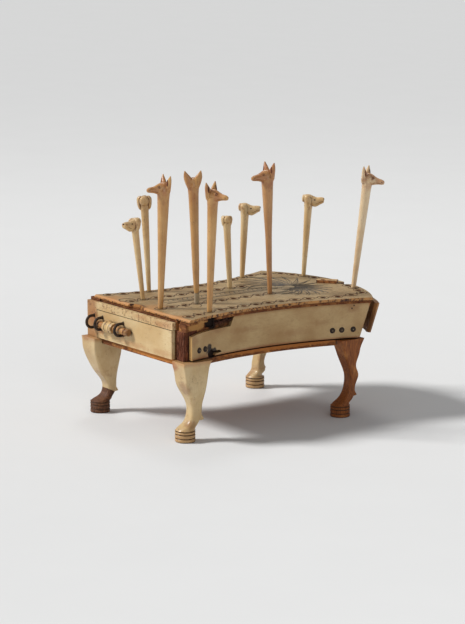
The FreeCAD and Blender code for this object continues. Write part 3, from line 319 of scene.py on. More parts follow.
def side_extra(make):
    """The near panel: brown along its edges and in patches, painted black shade round the bite."""
    make.tint((178, 128, 72), make.band(make.axis("Z"), 57.8, 60.0), 0.5)
    make.patches(
        0.8, (142, 88, 44), ((42, -58, 52), (12, 7, 5), 0.4), ((35, -40, 55), (8, 9, 3), 0.45),
        ((33, 10, 47), (10, 16, 3), 0.3), ((42, 42, 58), (6, 6, 4), 0.5),
        ((38, -52, 42), (8, 12, 2.5), 0.5), ((32, -10, 42), (8, 30, 1.8), 0.5),
        ((32, -22, 52), (8, 14, 2.5), 0.3), ((36, 26, 51), (8, 10, 2.2), 0.3))
    # Painted shade: near-black round the bite and in its hollow.
    make.patches(
        0.35, (30, 18, 12), ((40, -44.5, 44.4), (6, 5.4, 2.4), 0.95),
        ((40, -46.2, 45.8), (6, 2.2, 3.2), 0.95))
    make.tint((176, 104, 48), make.band(make.axis("Y"), 49.2, 50.1), 0.85)
    make.tint((150, 84, 40), make.below(make.axis("Z"), 42.0, 42.9), 0.6)
    nail = (4, 0.42, 0.55)
    make.patches(0.3, (40, 22, 14), ((45, 42.3, 58.9), nail, 1.0), ((45, 41.2, 57.4), nail, 1.0))
    make.tint((206, 164, 104), make.walls(), make.below(make.axis("Y"), -59.4, -59.1))


def front_extra(make):
    """The fascia and drawer face: orange stains on the stile and by the metal, pitted strip."""
    make.tint((158, 100, 50), make.below(make.axis("X"), -41.0, -36.5), 0.7)
    make.patches(
        0.8, (168, 98, 44), ((-34, -64, 47), 6, 0.7), ((-16, -64, 47), 6, 0.45),
        ((-41, -64, 52), 6, 0.6), ((24, -64, 58), (14, 5, 3), 0.5),
        ((2, -64, 58.5), (10, 5, 2), 0.4), ((22, -64, 43), (14, 5, 3), 0.35),
        ((-5, -64, 43), (20, 5, 2.2), 0.35))
    make.tint((112, 62, 30), make.band(make.axis("Z"), 56.1, 56.6),
              make.blots(0.55, 83, 0.52, 0.62, rough=0.75), 0.75)
    make.tint((92, 52, 28), make.below(make.axis("X"), -39.0, -38.0),
              make.blots(0.45, 87, 0.56, 0.68, rough=0.75), 0.7)


def tablet_extra(make):
    """The broken slab: pale on top, orange-brown on its broken edges, painted shade in its hole.
    """
    wall = make.walls()
    make.tint((178, 112, 58), wall, 0.9)
    make.tint((88, 44, 22), wall, make.blots(0.5, 79, 0.48, 0.62))
    make.tint((120, 74, 38), make.blots(0.35, 81, 0.52, 0.64), 0.6)
    # Painted shade: dark brown on the walls round the slab's dark hole.
    make.tint((58, 28, 16), wall, make.near((-3.5, 52, 64), (3.2, 4, 3), 0.5))


def back_extra(make):
    """The sprung back panel: brown at its end and edges."""
    make.tint((172, 112, 60), make.band(make.axis("X"), 34, 46), 0.8)
    make.patches(0.6, (70, 38, 22), ((46, 50, 50), (6, 6, 12), 0.55))


def post_extra(make):
    """The bare corner post: rough, with pinkish streaks painted as highlights on its ridges."""
    make.tint((192, 138, 110), make.blots(0.9, 91, 0.55, 0.7, 4, stretch=(3.0, 3.0, 0.35)), 0.6)


def board_extra(make):
    """The boards' edges: worn orange patches, and near-black painted shade at the broken corner.
    """
    make.tint((206, 146, 82), make.blots(0.2, 93, 0.52, 0.68), 0.6)
    # The last three rows are painted shade, near-black in the corner's recess and in the bite.
    for colour, *patch in (
            ((200, 150, 88), (38, -53, 58.5), (5, 9.5, 3.4), 0.75),
            ((204, 132, 64), (10, -62, 40.6), (30, 4, 2.8), 0.85),
            ((196, 122, 58), (36, 0, 40.6), (10, 44, 1.6), 0.6),
            ((16, 10, 7), (33.6, -42.6, 58), (3.2, 4.2, 4.0), 0.95),
            ((48, 26, 16), (33.6, -35, 58), (2.6, 7.0, 4.0), 0.7),
            ((22, 13, 9), (36, -44.5, 43.8), (9, 7, 3.6), 0.95)):
        make.patches(0.35, colour, patch)


def bolt_extra(make):
    """The bolt: mottled orange-brown rod, cream collar with two grooves, dark right end."""
    along = make.axis("X")
    make.tint((222, 192, 138), make.band(along, -26.9, -26.4),
              make.below(along, -18.8, -18.2), 0.8)
    make.tint((70, 40, 22), make.band(along, -8.5, -5.4), 0.6)
    make.tint((88, 50, 26), make.blots(0.5, 51, 0.5, 0.64, rough=0.6), 0.7)
    for place in (-24.6, -20.4):
        beside = make.band(make.math("ABSOLUTE", make.math("SUBTRACT", along, place)), 0.15, 0.5)
        make.tint((74, 42, 24), make.math("SUBTRACT", 0.8, beside, clamp=True))


def leg_extra(make):
    """Legs: darker hooves, warm patches and dark speckles."""
    make.tint((176, 122, 64), make.below(make.axis("Z"), 4.5, 8.5), 0.55)
    make.tint((156, 98, 50), make.blots(0.12, 61, 0.52, 0.68, rough=0.65), 0.5)
    make.tint((176, 108, 54), make.band(make.axis("Z"), 38.4, 40.6), 0.45)
    make.patches(
        0.7, (138, 82, 42), ((40, -64, 27), (6, 5, 6), 0.5), ((36, -66, 16), (5, 5, 6), 0.45),
        ((41, -60, 9), (5, 5, 3), 0.5), ((-42, -62, 16), (6, 6, 4), 0.4))
    speckle = make.blots(0.9, 113, 0.5, 0.6, rough=0.75)
    make.tint((104, 58, 30), speckle, make.near((39, -58, 32), (6, 8, 7), 0.8), 0.85)
    make.patches(0.5, (168, 96, 44), ((33, -64, 38.5), (5, 5, 3), 0.8))


def jackal_extra(make):
    """Jackal pins: pink-brown stains and dark specks towards the carved head, and reddish-brown
    painted shade in its hollows.
    """
    head = make.band(make.axis("Z"), 112, 122)
    # Painted shade: reddish brown where ambient occlusion finds the head's hollows.
    make.tint((134, 64, 36), head, make.painted_shade(2.2, 0.8, 0.1, 0.5))
    make.tint((170, 106, 66), head, make.blots(0.28, 101, 0.4, 0.62, rough=0.6), 0.65)
    make.tint((96, 48, 30), head, make.blots(0.7, 103, 0.58, 0.7), 0.6)
    make.tint((92, 50, 30), make.blots(0.9, 107, 0.63, 0.72, 5, stretch=(1, 1, 0.5)), 0.5)


def hound_extra(make):
    """Hound pins: warmer towards the head, with brown specks, and reddish-brown painted shade in
    the head's hollows.
    """
    make.tint((186, 132, 76), make.band(make.axis("Z"), 96, 112), 0.3)
    head = make.band(make.axis("Z"), 94, 104)
    # Painted shade: reddish brown where ambient occlusion finds the head's hollows.
    make.tint((122, 54, 28), head, make.painted_shade(1.8, 0.9, 0.1, 0.45))
    make.tint((142, 80, 46), head, make.blots(0.4, 111, 0.52, 0.66, rough=0.65), 0.6)
    make.tint((112, 66, 36), make.blots(0.6, 109, 0.6, 0.7, stretch=(1, 1, 0.6)), 0.5)


# Ivories: slot, name, pale, warm and dark tone, grain, stains, pits, roughness, painted shade in
# seams, own marks.
IVORIES = (
    ("ivory_top", "Playing surface ivory", (178, 152, 110), (152, 122, 80), (108, 66, 34),
     ALONG_Y, 0.5, 0.55, 0.44, 0.95, top_extra),
    ("tablet", "Broken slab ivory", (206, 176, 128), (186, 148, 98), (120, 70, 36),
     ALONG_X, 0.5, 0.5, 0.42, 0.9, tablet_extra),
    ("ivory_back", "Back panel ivory", (204, 174, 126), (182, 146, 96), (128, 80, 42),
     ALONG_X, 0.45, 0.4, 0.4, 0.85, back_extra),
    ("ivory_side", "Side panel ivory", (198, 168, 120), (172, 136, 88), (128, 80, 42),
     ALONG_Y, 0.42, 0.4, 0.36, 0.9, side_extra),
    ("ivory_front", "Drawer front ivory", (222, 198, 152), (202, 168, 116), (140, 84, 40),
     ALONG_X, 0.5, 0.75, 0.4, 0.95, front_extra),
    ("ivory_leg", "Leg ivory", (216, 192, 146), (196, 164, 114), (134, 86, 46),
     ALONG_Z, 0.45, 0.5, 0.26, 0.9, leg_extra),
    ("ivory_jackal", "Jackal pin ivory", (214, 170, 110), (186, 136, 78), (108, 64, 34),
     ALONG_Z, 0.45, 0.7, 0.2, 0.9, jackal_extra),
    ("ivory_red", "Reddish pin ivory", (200, 152, 100), (168, 114, 66), (100, 54, 30),
     ALONG_Z, 0.5, 0.7, 0.2, 0.9, jackal_extra),
    ("pin_pale", "Pale pin ivory", (232, 208, 170), (208, 172, 126), (124, 68, 40),
     ALONG_Z, 0.4, 0.6, 0.2, 0.9, jackal_extra),
    ("ivory_hound", "Hound pin ivory", (228, 202, 154), (206, 168, 112), (136, 82, 40),
     ALONG_Z, 0.4, 0.5, 0.22, 0.95, hound_extra),
    ("ivory_bolt", "Bolt ivory", (204, 154, 94), (166, 112, 60), (84, 46, 24),
     ALONG_X, 0.6, 0.5, 0.32, 0.9, bolt_extra),
)
# Woods: slot, name, pale, middle and dark tone, grain, roughness, wear, own marks if any.
WOODS = (
    ("wood_board", "Board wood", (200, 138, 76), (142, 84, 42), (70, 36, 20),
     ALONG_Y, 0.74, 0.5, board_extra),
    ("wood_post", "Corner post wood", (172, 106, 70), (122, 66, 42), (50, 25, 16),
     ALONG_Z, 0.85, 0.4, post_extra),
    ("wood_dark", "Splintered wood", (120, 66, 38), (78, 42, 26), (34, 18, 12), ALONG_Y, 0.8, 0.4),
    ("wood_leg", "Leg wood", (212, 142, 78), (172, 102, 48), (100, 52, 24), ALONG_Z, 0.42, 0.5),
    ("wood_restored", "Restored hoof wood", (168, 116, 76), (122, 78, 50), (54, 32, 20),
     ALONG_Z, 0.5, 0.5),
    ("wood_drawer", "Drawer wood", (190, 138, 84), (150, 98, 54), (96, 56, 30), ALONG_Y, 0.7, 0.4),
)
# Fillings of lines and small marks: slot, name, two tones.
PASTES = (
    ("line_dark", "Incised line", (46, 30, 20), (96, 64, 38)),
    ("line_grey", "Worn incised line", (66, 64, 62), (118, 102, 80)),
    ("stud_dark", "Stud ring", (30, 22, 17), (60, 42, 28)),
    ("line_pale", "Stud heart", (150, 134, 110), (112, 92, 68)),
    ("line_brown", "Carved line", (78, 38, 22), (116, 62, 34)),
)
# Nodes whose finish differs from that of their slot.
OWN_FINISH = {"goal_tablet": "tablet", "back_panel": "ivory_back", "side_studs": "stud_dark",
              "jackal_pin_5": "pin_pale"}
finishes = {}


def make_finishes():
    """All finishes, by the record's slot or a name of their own."""
    for recipe, rows in ((ivory, IVORIES), (wood, WOODS), (incised, PASTES)):
        for slot, *row in rows:
            finishes[slot] = recipe(*row)
    finishes["staple_metal"] = corroded("Corroded wire")
    finishes["clear_fill"] = clear_fill("Clear fill")


# Modelling helpers. All sizes in mm until a piece is finished.

SAME_PLACE, HOLE_WIDTHS, CHIP_SIZE = 1e-6, (2.6, 4.2), (0.72, 1.12)
# In metres: how near vertices become one, how level a rim is, and how far a ray goes.
WELD, LEVEL, RAY_REACH = 2e-6, 2e-5, 0.03
# The most that an upright face's normal points up, and a chip's turn in radians.
UPRIGHT, CHIP_TURN = 0.5, 0.12
SIDES, UP = (-1, 1), Vector((0, 0, 1))


def pick(things):
    """Selects these things alone, the first as the active one."""
    bpy.ops.object.select_all(action="DESELECT")
    for thing in things:
        thing.select_set(True)
    bpy.context.view_layer.objects.active = things[0]


def joined(name, things):
    """Several objects as one piece."""
    pick(things)
    bpy.ops.object.join()
    piece = bpy.context.object
    piece.name = name
    piece.data.name = name
    return piece


def finished(name, things, body, finish, slot, smooth=40):
    """Joins things into a piece with its place in its mesh, its finish and its body."""
    piece = joined(name, things)
    bpy.ops.object.transform_apply(location=True, rotation=True, scale=True)
    if smooth:
        bpy.ops.object.shade_smooth_by_angle(angle=math.radians(smooth))
    piece.data.materials.clear()
    piece.data.materials.append(finishes[finish])
    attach(piece, body)


def thickened(things, thickness, offset):
    """Joins skins and gives them their thickness, inwards at offset -1, both ways at 0."""
    piece = joined("skin", things)
    wall = piece.modifiers.new("wall", "SOLIDIFY")
    wall.thickness = thickness * MM
    wall.offset = offset
    bpy.ops.object.modifier_apply(modifier=wall.name)
    return [piece]


def lines(paths, width):
    """Round-backed lines along paths, as one mesh. A path that ends where it starts is closed."""
    data = bpy.data.curves.new("lines", "CURVE")
    data.dimensions = "3D"
    data.bevel_depth = width / 2 * MM
    data.bevel_resolution = 1
    data.use_fill_caps = True
    for path in paths:
        closed = (Vector(path[0]) - Vector(path[-1])).length < SAME_PLACE
        points = path[:-1] if closed else path
        spline = data.splines.new("POLY")
        spline.points.add(len(points) - 1)
        for point, place in zip(spline.points, points):
            point.co = (*(Vector(place) * MM), 1)
        spline.use_cyclic_u = closed
    piece = bpy.data.objects.new("lines", data)
    bpy.context.scene.collection.objects.link(piece)
    pick([piece])
    bpy.ops.object.convert(target="MESH")
    return [bpy.context.object]


def arc(middle, radius, start, stop, z, count=18, squash=1.0):
    """Points round a middle, from one angle in degrees to another."""
    path = []
    for step in range(count + 1):
        turn = math.radians(start + (stop - start) * step / count)
        path.append((
            middle[0] + radius * math.cos(turn), middle[1] + radius * squash * math.sin(turn), z))
    return path


def hoop(place, radius, wire, segments, rotation=(0, 0, 0)):
    """A thin round hoop."""
    bpy.ops.mesh.primitive_torus_add(
        major_radius=radius * MM, minor_radius=wire / 2 * MM, major_segments=segments,
        minor_segments=8, location=[c * MM for c in place], rotation=rotation)
    return bpy.context.object


def surface(node):
    """A node's faces, for rays to meet."""
    mesh = NODES[node].data
    return BVHTree.FromPolygons(
        [v.co[:] for v in mesh.vertices], [p.vertices[:] for p in mesh.polygons])


def welded(node):
    """A copy of a node's mesh with its doubles merged."""
    mesh = bmesh.new()
    mesh.from_mesh(NODES[node].data)
    bmesh.ops.remove_doubles(mesh, verts=mesh.verts, dist=WELD)
    mesh.normal_update()
    return mesh


def islands(links):
    """Groups of vertices that hang together by the edges given for each vertex."""
    groups = []
    while links:
        seed, edges = links.popitem()
        group, edges = [seed], list(edges)
        while edges:
            for vert in edges.pop().verts:
                if vert in links:
                    edges.extend(links.pop(vert))
                    group.append(vert)
        groups.append(group)
    return groups


def hole_middles():
    """Middles of the round holes in the playing surface, read from its own mesh."""
    mesh = welded("top_veneer")
    rims = {}
    for edge in mesh.edges:
        level = all(abs(v.co.z - TOP_Z) < LEVEL for v in edge.verts)
        if level and any(abs(f.normal.z) < UPRIGHT for f in edge.link_faces):
            for vert in edge.verts:
                rims.setdefault(vert, []).append(edge)
    middles = []
    for rim in islands(rims):
        low, high = ([end(v.co[k] for v in rim) / MM for k in (0, 1)] for end in (min, max))
        if all(HOLE_WIDTHS[0] < b - a < HOLE_WIDTHS[1] for a, b in zip(low, high)):
            middles.append(tuple((a + b) / 2 for a, b in zip(low, high)))
    mesh.free()
    return sorted(middles)


def stud_faces():
    """Side of the case and outer middle in metres of each stud, read from their own mesh."""
    mesh = welded("side_studs")
    studs = []
    for stud in islands({vert: vert.link_edges for vert in mesh.verts}):
        side = 1 if stud[0].co.x > 0 else -1
        outer = max(side * v.co.x for v in stud) * side
        middle = sum((v.co for v in stud), Vector()) / len(stud)
        studs.append((side, Vector((outer, middle.y, middle.z))))
    mesh.free()
    return studs


def head_frame(name):
    """From a head's own axes to the object's: x ahead, z up, from the middle of the skull."""
    x, y, stand, lean, heading, scale = PINS[name]
    upright = Vector((lean * math.cos(LEAN_HEADING), lean * math.sin(LEAN_HEADING), 1))
    tilt = UP.rotation_difference(upright).to_matrix().to_4x4()
    return (
        Matrix.Translation((x, y, TOP_Z / MM)) @ tilt
        @ Matrix.Rotation(math.radians(heading), 4, "Z")
        @ Matrix.Translation((0, 0, stand)) @ Matrix.Scale(scale, 4))


def heads(kind):
    """Name, faces and direction ahead of each head of a kind."""
    for name in PINS:
        if name.startswith(kind):
            yield name, surface(name), head_frame(name).to_3x3() @ Vector((1, 0, 0))


def on_head(name, tree, ray, side=1):
    """Point and outward direction where a ray, given by start and aim, meets one side."""
    origin, target = (head_frame(name) @ Vector((x, side * y, z)) for x, y, z in ray)
    aim = target - origin
    hit, normal, _, _ = tree.ray_cast(origin * MM, aim.normalized(), RAY_REACH)
    if hit is None:
        hit, normal, _, _ = tree.find_nearest(target * MM)
    if normal.dot(aim) > 0:
        normal.negate()
    return hit / MM, normal


def carved(name, tree, side, points, sink, start, level):
    """A line sunk into one side of a head, through points given ahead and up."""
    path = []
    for x, z in points:
        place, normal = on_head(name, tree, ((x, start, z), (x, 0, z * level)), side)
        path.append(tuple(place - normal * sink))
    return path


def placed(thing, place, sizes):
    """Puts a primitive of half size 1 at its place and half sizes."""
    thing.matrix_world = Matrix.Scale(MM, 4) @ place @ Matrix.Diagonal((*sizes, 1))
    return thing


def bead(place, normal, along, sizes, sink=0.35):
    """Flattened bead on a surface: half sizes along, across and out of it."""
    bpy.ops.mesh.primitive_uv_sphere_add(segments=20, ring_count=12, radius=1)
    side = normal.cross(along).normalized()
    ahead = side.cross(normal).normalized()
    turn = Matrix((ahead, side, normal)).transposed().to_4x4()
    sunk = Matrix.Translation(place - normal * sizes[2] * sink)
    return placed(bpy.context.object, sunk @ turn, sizes)


def drawn(chance, values):
    """Each value, or a draw between the two that it gives."""
    return [chance.uniform(*value) if isinstance(value, tuple) else value for value in values]


def ragged(name, chips, finish, slot, chance):
    """Rough chips of broken material: middle and half sizes of each."""
    made = []
    for middle, sizes in chips:
        bpy.ops.mesh.primitive_ico_sphere_add(subdivisions=2, radius=1)
        chip = bpy.context.object
        for vert in chip.data.vertices:
            vert.co *= chance.uniform(*CHIP_SIZE)
        turns = [Matrix.Rotation(chance.uniform(-CHIP_TURN, CHIP_TURN), 4, axis) for axis in "XY"]
        made.append(placed(chip, Matrix.Translation(middle) @ turns[0] @ turns[1], sizes))
    finished(name, made, "root", finish, slot, 0)


def rounded_ends(name, ends, finish, slot):
    """Domes over the flat ends of a head: place ahead and up, half sizes, height of the dome."""
    domes = []
    for ahead, up, wide, tall, height in ends:
        bpy.ops.mesh.primitive_uv_sphere_add(segments=28, ring_count=16, radius=1)
        place = head_frame(name) @ Matrix.Translation((ahead, 0, up))
        domes.append(placed(bpy.context.object, place, (height, wide, tall)))
    finished(name + "_rounded_ends", domes, name, finish, slot)


# Sizes and colours that a user can change.


class RingSettings(bpy.types.PropertyGroup):
    radius: FloatProperty(
        name="Ring radius", description="Radius of the ring round a hole", default=3.0 * MM,
        unit="LENGTH")
    width: FloatProperty(
        name="Line width", description="Width of an incised line", default=0.34 * MM,
        unit="LENGTH")
    segments: IntProperty(name="Segments", description="Straight steps in a ring", default=36)


class PalmSettings(bpy.types.PropertyGroup):
    fronds: IntProperty(name="Fronds", description="Fronds of the palm", default=19)
    length: FloatProperty(
        name="Frond length", description="Length of a frond", default=21.0 * MM, unit="LENGTH")
    width: FloatProperty(
        name="Line width", description="Width of an incised line", default=0.42 * MM,
        unit="LENGTH")


class StageSettings(bpy.types.PropertyGroup):
    floor: FloatVectorProperty(
        name="Floor", description="Colour of the floor", subtype="COLOR", default=(0.8, 0.8, 0.79))
    key: FloatProperty(name="Main lamp", description="Strength of the main lamp", default=2.9)
    softness: FloatProperty(
        name="Softness", description="Width of the main lamp as seen from the object",
        default=math.radians(14), subtype="ANGLE")
    fill: FloatProperty(
        name="Fill", description="Power of each fill lamp", default=1.3, unit="POWER")


class GAME_OT_finishes(bpy.types.Operator):
    """Give every CAD node its finish"""
    bl_idname = "game.finishes"
    bl_label = "Finishes"

    def execute(self, context):
        make_finishes()
        for part in frame["record"]["subparts"]:
            mesh = NODES[part["node"]].data
            mesh.materials.clear()
            mesh.materials.append(finishes[OWN_FINISH.get(part["node"], part["material_slot"])])
        return {"FINISHED"}


FEWEST_HOLES = 50
# Rings: how far one stands off its hole and differs in size, the share that closes, and how much
# a closed one is squashed or how many degrees an open one goes round.
OFF_MIDDLE, OFF_SIZE, CLOSED_SHARE = 0.15, 0.2, 0.55
SQUASHED, OPEN_TURN = (0.93, 1.07), (250, 330)
OPEN_STEPS, LONE_TURN = 30, (20, 320)
LONE_ARCS = (((-20.0, -57.3), 4.3), ((12.0, -38.3), 4.6))
# Dots between holes that stand nearer than this.
NEIGHBOURS = 9.2
DOT_SHARES, DOT_RADIUS, DOT_LINE = (0.44, 0.56), 0.24, 0.46
# Linings painted brown as the shade inside the holes: radius, depth, wall and sink below the top.
LINING_RADIUS, LINING_DEPTH, LINING_WALL, LINING_SINK = 1.58, 1.5, 0.1, 0.02


class GAME_OT_rings(bpy.types.Operator):
    """Incise the rings round the peg holes and the marks between them, and line the holes
    with brown as their painted shade
    """
    bl_idname = "game.rings"
    bl_label = "Rings round the holes"

    def execute(self, context):
        made = context.scene.game_rings
        z = TOP_Z / MM
        holes = hole_middles()
        if len(holes) < FEWEST_HOLES:
            raise RuntimeError(f"only {len(holes)} holes found")
        chance = random.Random(7)
        rings = []
        for hole in holes:
            middle = [c + chance.uniform(-OFF_MIDDLE, OFF_MIDDLE) for c in hole]
            radius = made.radius / MM + chance.uniform(-OFF_SIZE, OFF_SIZE)
            start = chance.uniform(0, 360)
            if chance.random() < CLOSED_SHARE:
                squash = chance.uniform(*SQUASHED)
                rings.append(arc(middle, radius, 0, 360, z, made.segments, squash))
            else:
                stop = start + chance.uniform(*OPEN_TURN)
                rings.append(arc(middle, radius, start, stop, z, OPEN_STEPS))
        for middle, radius in LONE_ARCS:
            rings.append(arc(middle, radius, *LONE_TURN, z, OPEN_STEPS))
        rings = lines(rings, made.width / MM)
        finished("hole_rings", rings, "root", "line_dark", "ivory_top")
        dots = []
        for first in holes:
            for second in holes:
                if first < second and math.dist(first, second) < NEIGHBOURS:
                    for share in DOT_SHARES:
                        middle = [f + (g - f) * share for f, g in zip(first, second)]
                        dots.append(arc(middle, DOT_RADIUS, 0, 360, z, count=8))
        finished("ring_dots", lines(dots, DOT_LINE), "root", "line_dark", "ivory_top")
        # Painted shade: a thin brown lining down the wall of each hole.
        walls = []
        for x, y in holes:
            bpy.ops.mesh.primitive_cylinder_add(
                vertices=28, radius=LINING_RADIUS * MM, depth=LINING_DEPTH * MM,
                end_fill_type="NOTHING",
                location=(x * MM, y * MM, TOP_Z - (LINING_DEPTH / 2 + LINING_SINK) * MM))
            walls.append(context.object)
        walls = thickened(walls, LINING_WALL, -1)
        finished("hole_shade_linings", walls, "root", "line_brown", "ivory_top")
        return {"FINISHED"}


# The palm's trunk, rows of bark, crown, fan of fronds in degrees, and date cluster.
PALM_SINK = 0.04
TRUNK_X, TRUNK_FOOT, TRUNK_HEIGHT, TRUNK_HALF, TRUNK_TAPER = -4, -46, 76, 4.2, 0.012
BARK_ROWS, BARK_FOOT, BARK_STEP, BARK_HALF, BARK_TAPER = 25, -45, 3.0, 3.9, 0.03
BARK_CURVE = ((0, 0), (0.5, 0.7), (1, 2.2))
CROWN, FAN_START, FAN_TURN, FROND_STEPS = (-1.0, 34.0), -38, 256, 12
FROND_LINES, FROND_ROOT, FROND_DROOP, LONGER_LEFT = (-1.1, 0.0, 1.1), 3, -0.28, 0.35
FAN_WIDE, FAN_TALL = 1.12, 0.86
CLUSTER, CLUSTER_RADII = (9.5, 27.5), (3.4, 4.6, 5.8)
CLUSTER_STALK = ((2.6, 25.6), (9.5, 24.6), (16, 25.8))


class GAME_OT_palm(bpy.types.Operator):
    """Incise the palm between the inner columns"""
    bl_idname = "game.palm"
    bl_label = "Palm"

    def frond(self, turn, offset, length, z):
        """One line of a frond, bending towards the ground as it goes out."""
        longer = 1.0 + LONGER_LEFT * max(0.0, -math.cos(math.radians(turn)))
        path = []
        for step in range(FROND_STEPS + 1):
            t = step / FROND_STEPS
            reach = FROND_ROOT + length * longer * t * (1 - abs(offset) * 0.12)
            bend = math.radians(turn + (90 - turn) * FROND_DROOP * t * t)
            spread = offset * math.sin(math.pi * min(1.0, t * 1.05))
            path.append((
                CROWN[0] + reach * math.cos(bend) * FAN_WIDE - spread * math.sin(bend),
                CROWN[1] + reach * math.sin(bend) * FAN_TALL + spread * math.cos(bend), z))
        return path

    def execute(self, context):
        made = context.scene.game_palm
        z, width = TOP_Z / MM - PALM_SINK, made.width / MM
        trunk = []
        for side in SIDES:
            trunk.append([
                (TRUNK_X + side * (TRUNK_HALF - TRUNK_TAPER * k), TRUNK_FOOT + k, z)
                for k in range(0, TRUNK_HEIGHT, 4)])
        for row in range(BARK_ROWS):
            low, reach = BARK_FOOT + row * BARK_STEP, BARK_HALF - BARK_TAPER * row
            for side in SIDES:
                trunk.append([
                    (TRUNK_X + side * reach * out, low + up, z) for out, up in BARK_CURVE])
        finished("palm_trunk", lines(trunk, width), "root", "line_grey", "ivory_top")
        turns = [FAN_START + FAN_TURN * k / (made.fronds - 1) for k in range(made.fronds)]
        fronds = [
            self.frond(turn, line, made.length / MM, z) for turn in turns for line in FROND_LINES]
        finished("palm_fronds", lines(fronds, width), "root", "line_grey", "ivory_top")
        dates = [arc(CLUSTER, radius, 20, 200, z, 18, 0.8) for radius in CLUSTER_RADII]
        dates.append([(x, y, z) for x, y in CLUSTER_STALK])
        finished("palm_date_cluster", lines(dates, width), "root", "line_grey", "ivory_top")
        return {"FINISHED"}


# Carving of the heads, in each head's own axes: points ahead and up, half sizes of beads, and
# the start and aim of the rays that find a mark's place, on the left.
CARVED_LINE = 0.2
EYE_RAY, NOSTRIL_RAY = ((3.1, 7, 0.7), (3.1, 0, 0.3)), ((8.5, 5, -0.9), (8.3, 0, -1.0))
EAR_RAY = ((7, 3.2, 2.6), (-1.4, 3.5, 2.6))
HOUND_EYE_RAY, NOSE_RAY = ((3.6, 7, 0.3), (3.6, 0, 0.0)), ((12, 0, 0.9), (4, 0, 0.6))
PUPIL_PROUD, LID_PROUD, NOSE_PROUD = 0.22, 0.02, 0.36
JACKAL_MOUTH = ((9.0, -1.45), (8.2, -1.7), (7.0, -1.75), (5.8, -1.85), (4.6, -2.1), (3.8, -2.3))
JACKAL_BROW = ((1.6, 0.5), (2.4, 1.35), (3.4, 1.45), (4.3, 0.75))
JACKAL_EYE, JACKAL_PUPIL = (0.95, 0.55, 0.42), (0.34, 0.3, 0.1)
LID_REACH, LID_SQUASH = 0.92, 0.66
JACKAL_NOSTRIL, JACKAL_EAR_HOLLOW = (0.3, 0.22, 0.18), (1.7, 0.62, 0.22)
JACKAL_ENDS = ((9.1, -1.2, 0.9, 0.95, 0.36),)
HOUND_MOUTH = ((8.0, -0.5), (7.0, -0.7), (6.0, -1.3), (5.0, -1.9), (4.2, -2.1))
HOUND_EAR = ((0.9, 2.0), (1.5, 0.9), (1.9, -0.6), (1.6, -2.2), (1.1, -3.6))
# Each line with its depth, how far aside its rays start and the share of its level they aim at.
JACKAL_LINES = ((JACKAL_MOUTH, 0.04, 6, 1.0), (JACKAL_BROW, 0.05, 6, 0.8))
HOUND_LINES = ((HOUND_MOUTH, 0.03, 6, 1.0), (HOUND_EAR, 0.03, 7, 1.0))
HOUND_EYE, HOUND_NOSE = (0.6, 0.4, 0.25), (0.5, 0.7, 0.25)
HOUND_ENDS = ((-2.8, 0.25, 2.1, 2.1, 0.9), (8.0, 0.0, 1.4, 1.5, 0.46))


class GAME_OT_jackals(bpy.types.Operator):
    """Carve eyes, nostrils, mouths and ear hollows on the jackal heads"""
    bl_idname = "game.jackals"
    bl_label = "Jackal heads"

    def execute(self, context):
        for name, tree, ahead in heads("jackal"):
            dark, hollows, balls, paths = [], [], [], []
            for side in SIDES:
                place, normal = on_head(name, tree, EYE_RAY, side)
                balls.append(bead(place, normal, ahead, JACKAL_EYE))
                dark.append(bead(place + normal * PUPIL_PROUD, normal, ahead, JACKAL_PUPIL))
                across = normal.cross(ahead)
                paths.append([
                    tuple(place + normal * LID_PROUD + ahead * x + across * y)
                    for x, y, _ in arc((0, 0), LID_REACH, 0, 360, 0, 16, LID_SQUASH)])
                place, normal = on_head(name, tree, NOSTRIL_RAY, side)
                dark.append(bead(place, normal, ahead, JACKAL_NOSTRIL))
                place, normal = on_head(name, tree, EAR_RAY, side)
                hollows.append(bead(place, normal, UP, JACKAL_EAR_HOLLOW))
            finished(name + "_eyes", dark, name, "line_dark", "ivory_jackal")
            finished(name + "_ear_hollows", hollows, name, "line_brown", "ivory_jackal")
            slot = "ivory_red" if name == "jackal_pin_4" else "ivory_jackal"
            own = OWN_FINISH.get(name, slot)
            finished(name + "_eyeballs", balls, name, own, slot)
            rounded_ends(name, JACKAL_ENDS, own, slot)
            paths += [carved(name, tree, side, *line) for side in SIDES for line in JACKAL_LINES]
            carving = lines(paths, CARVED_LINE)
            finished(name + "_mouth", carving, name, "line_brown", "ivory_jackal")
        return {"FINISHED"}


class GAME_OT_hounds(bpy.types.Operator):
    """Carve eyes, noses, mouths and ear edges on the hound heads"""
    bl_idname = "game.hounds"
    bl_label = "Hound heads"

    def execute(self, context):
        for name, tree, ahead in heads("hound"):
            dark = []
            for side in SIDES:
                place, normal = on_head(name, tree, HOUND_EYE_RAY, side)
                dark.append(bead(place, normal, ahead, HOUND_EYE))
            place, normal = on_head(name, tree, NOSE_RAY)
            dark.append(bead(place + normal * NOSE_PROUD, normal, UP, HOUND_NOSE))
            rounded_ends(name, HOUND_ENDS, "ivory_hound", "ivory_hound")
            finished(name + "_eyes", dark, name, "line_dark", "ivory_hound")
            paths = [carved(name, tree, side, *line) for side in SIDES for line in HOUND_LINES]
            carving = lines(paths, CARVED_LINE)
            finished(name + "_mouth", carving, name, "line_brown", "ivory_hound")
        return {"FINISHED"}


STUD_RIM, STUD_HEART, HEART_PROUD = (1.55, 1.55, 0.6), (0.34, 0.34, 0.2), 0.3
# From a stud's face to where a ray starts that meets the panel beside it, in metres.
STUD_OUT, STUD_ASIDE, STUD_ABOVE = 10 * MM, 2.2 * MM, 0.6 * MM


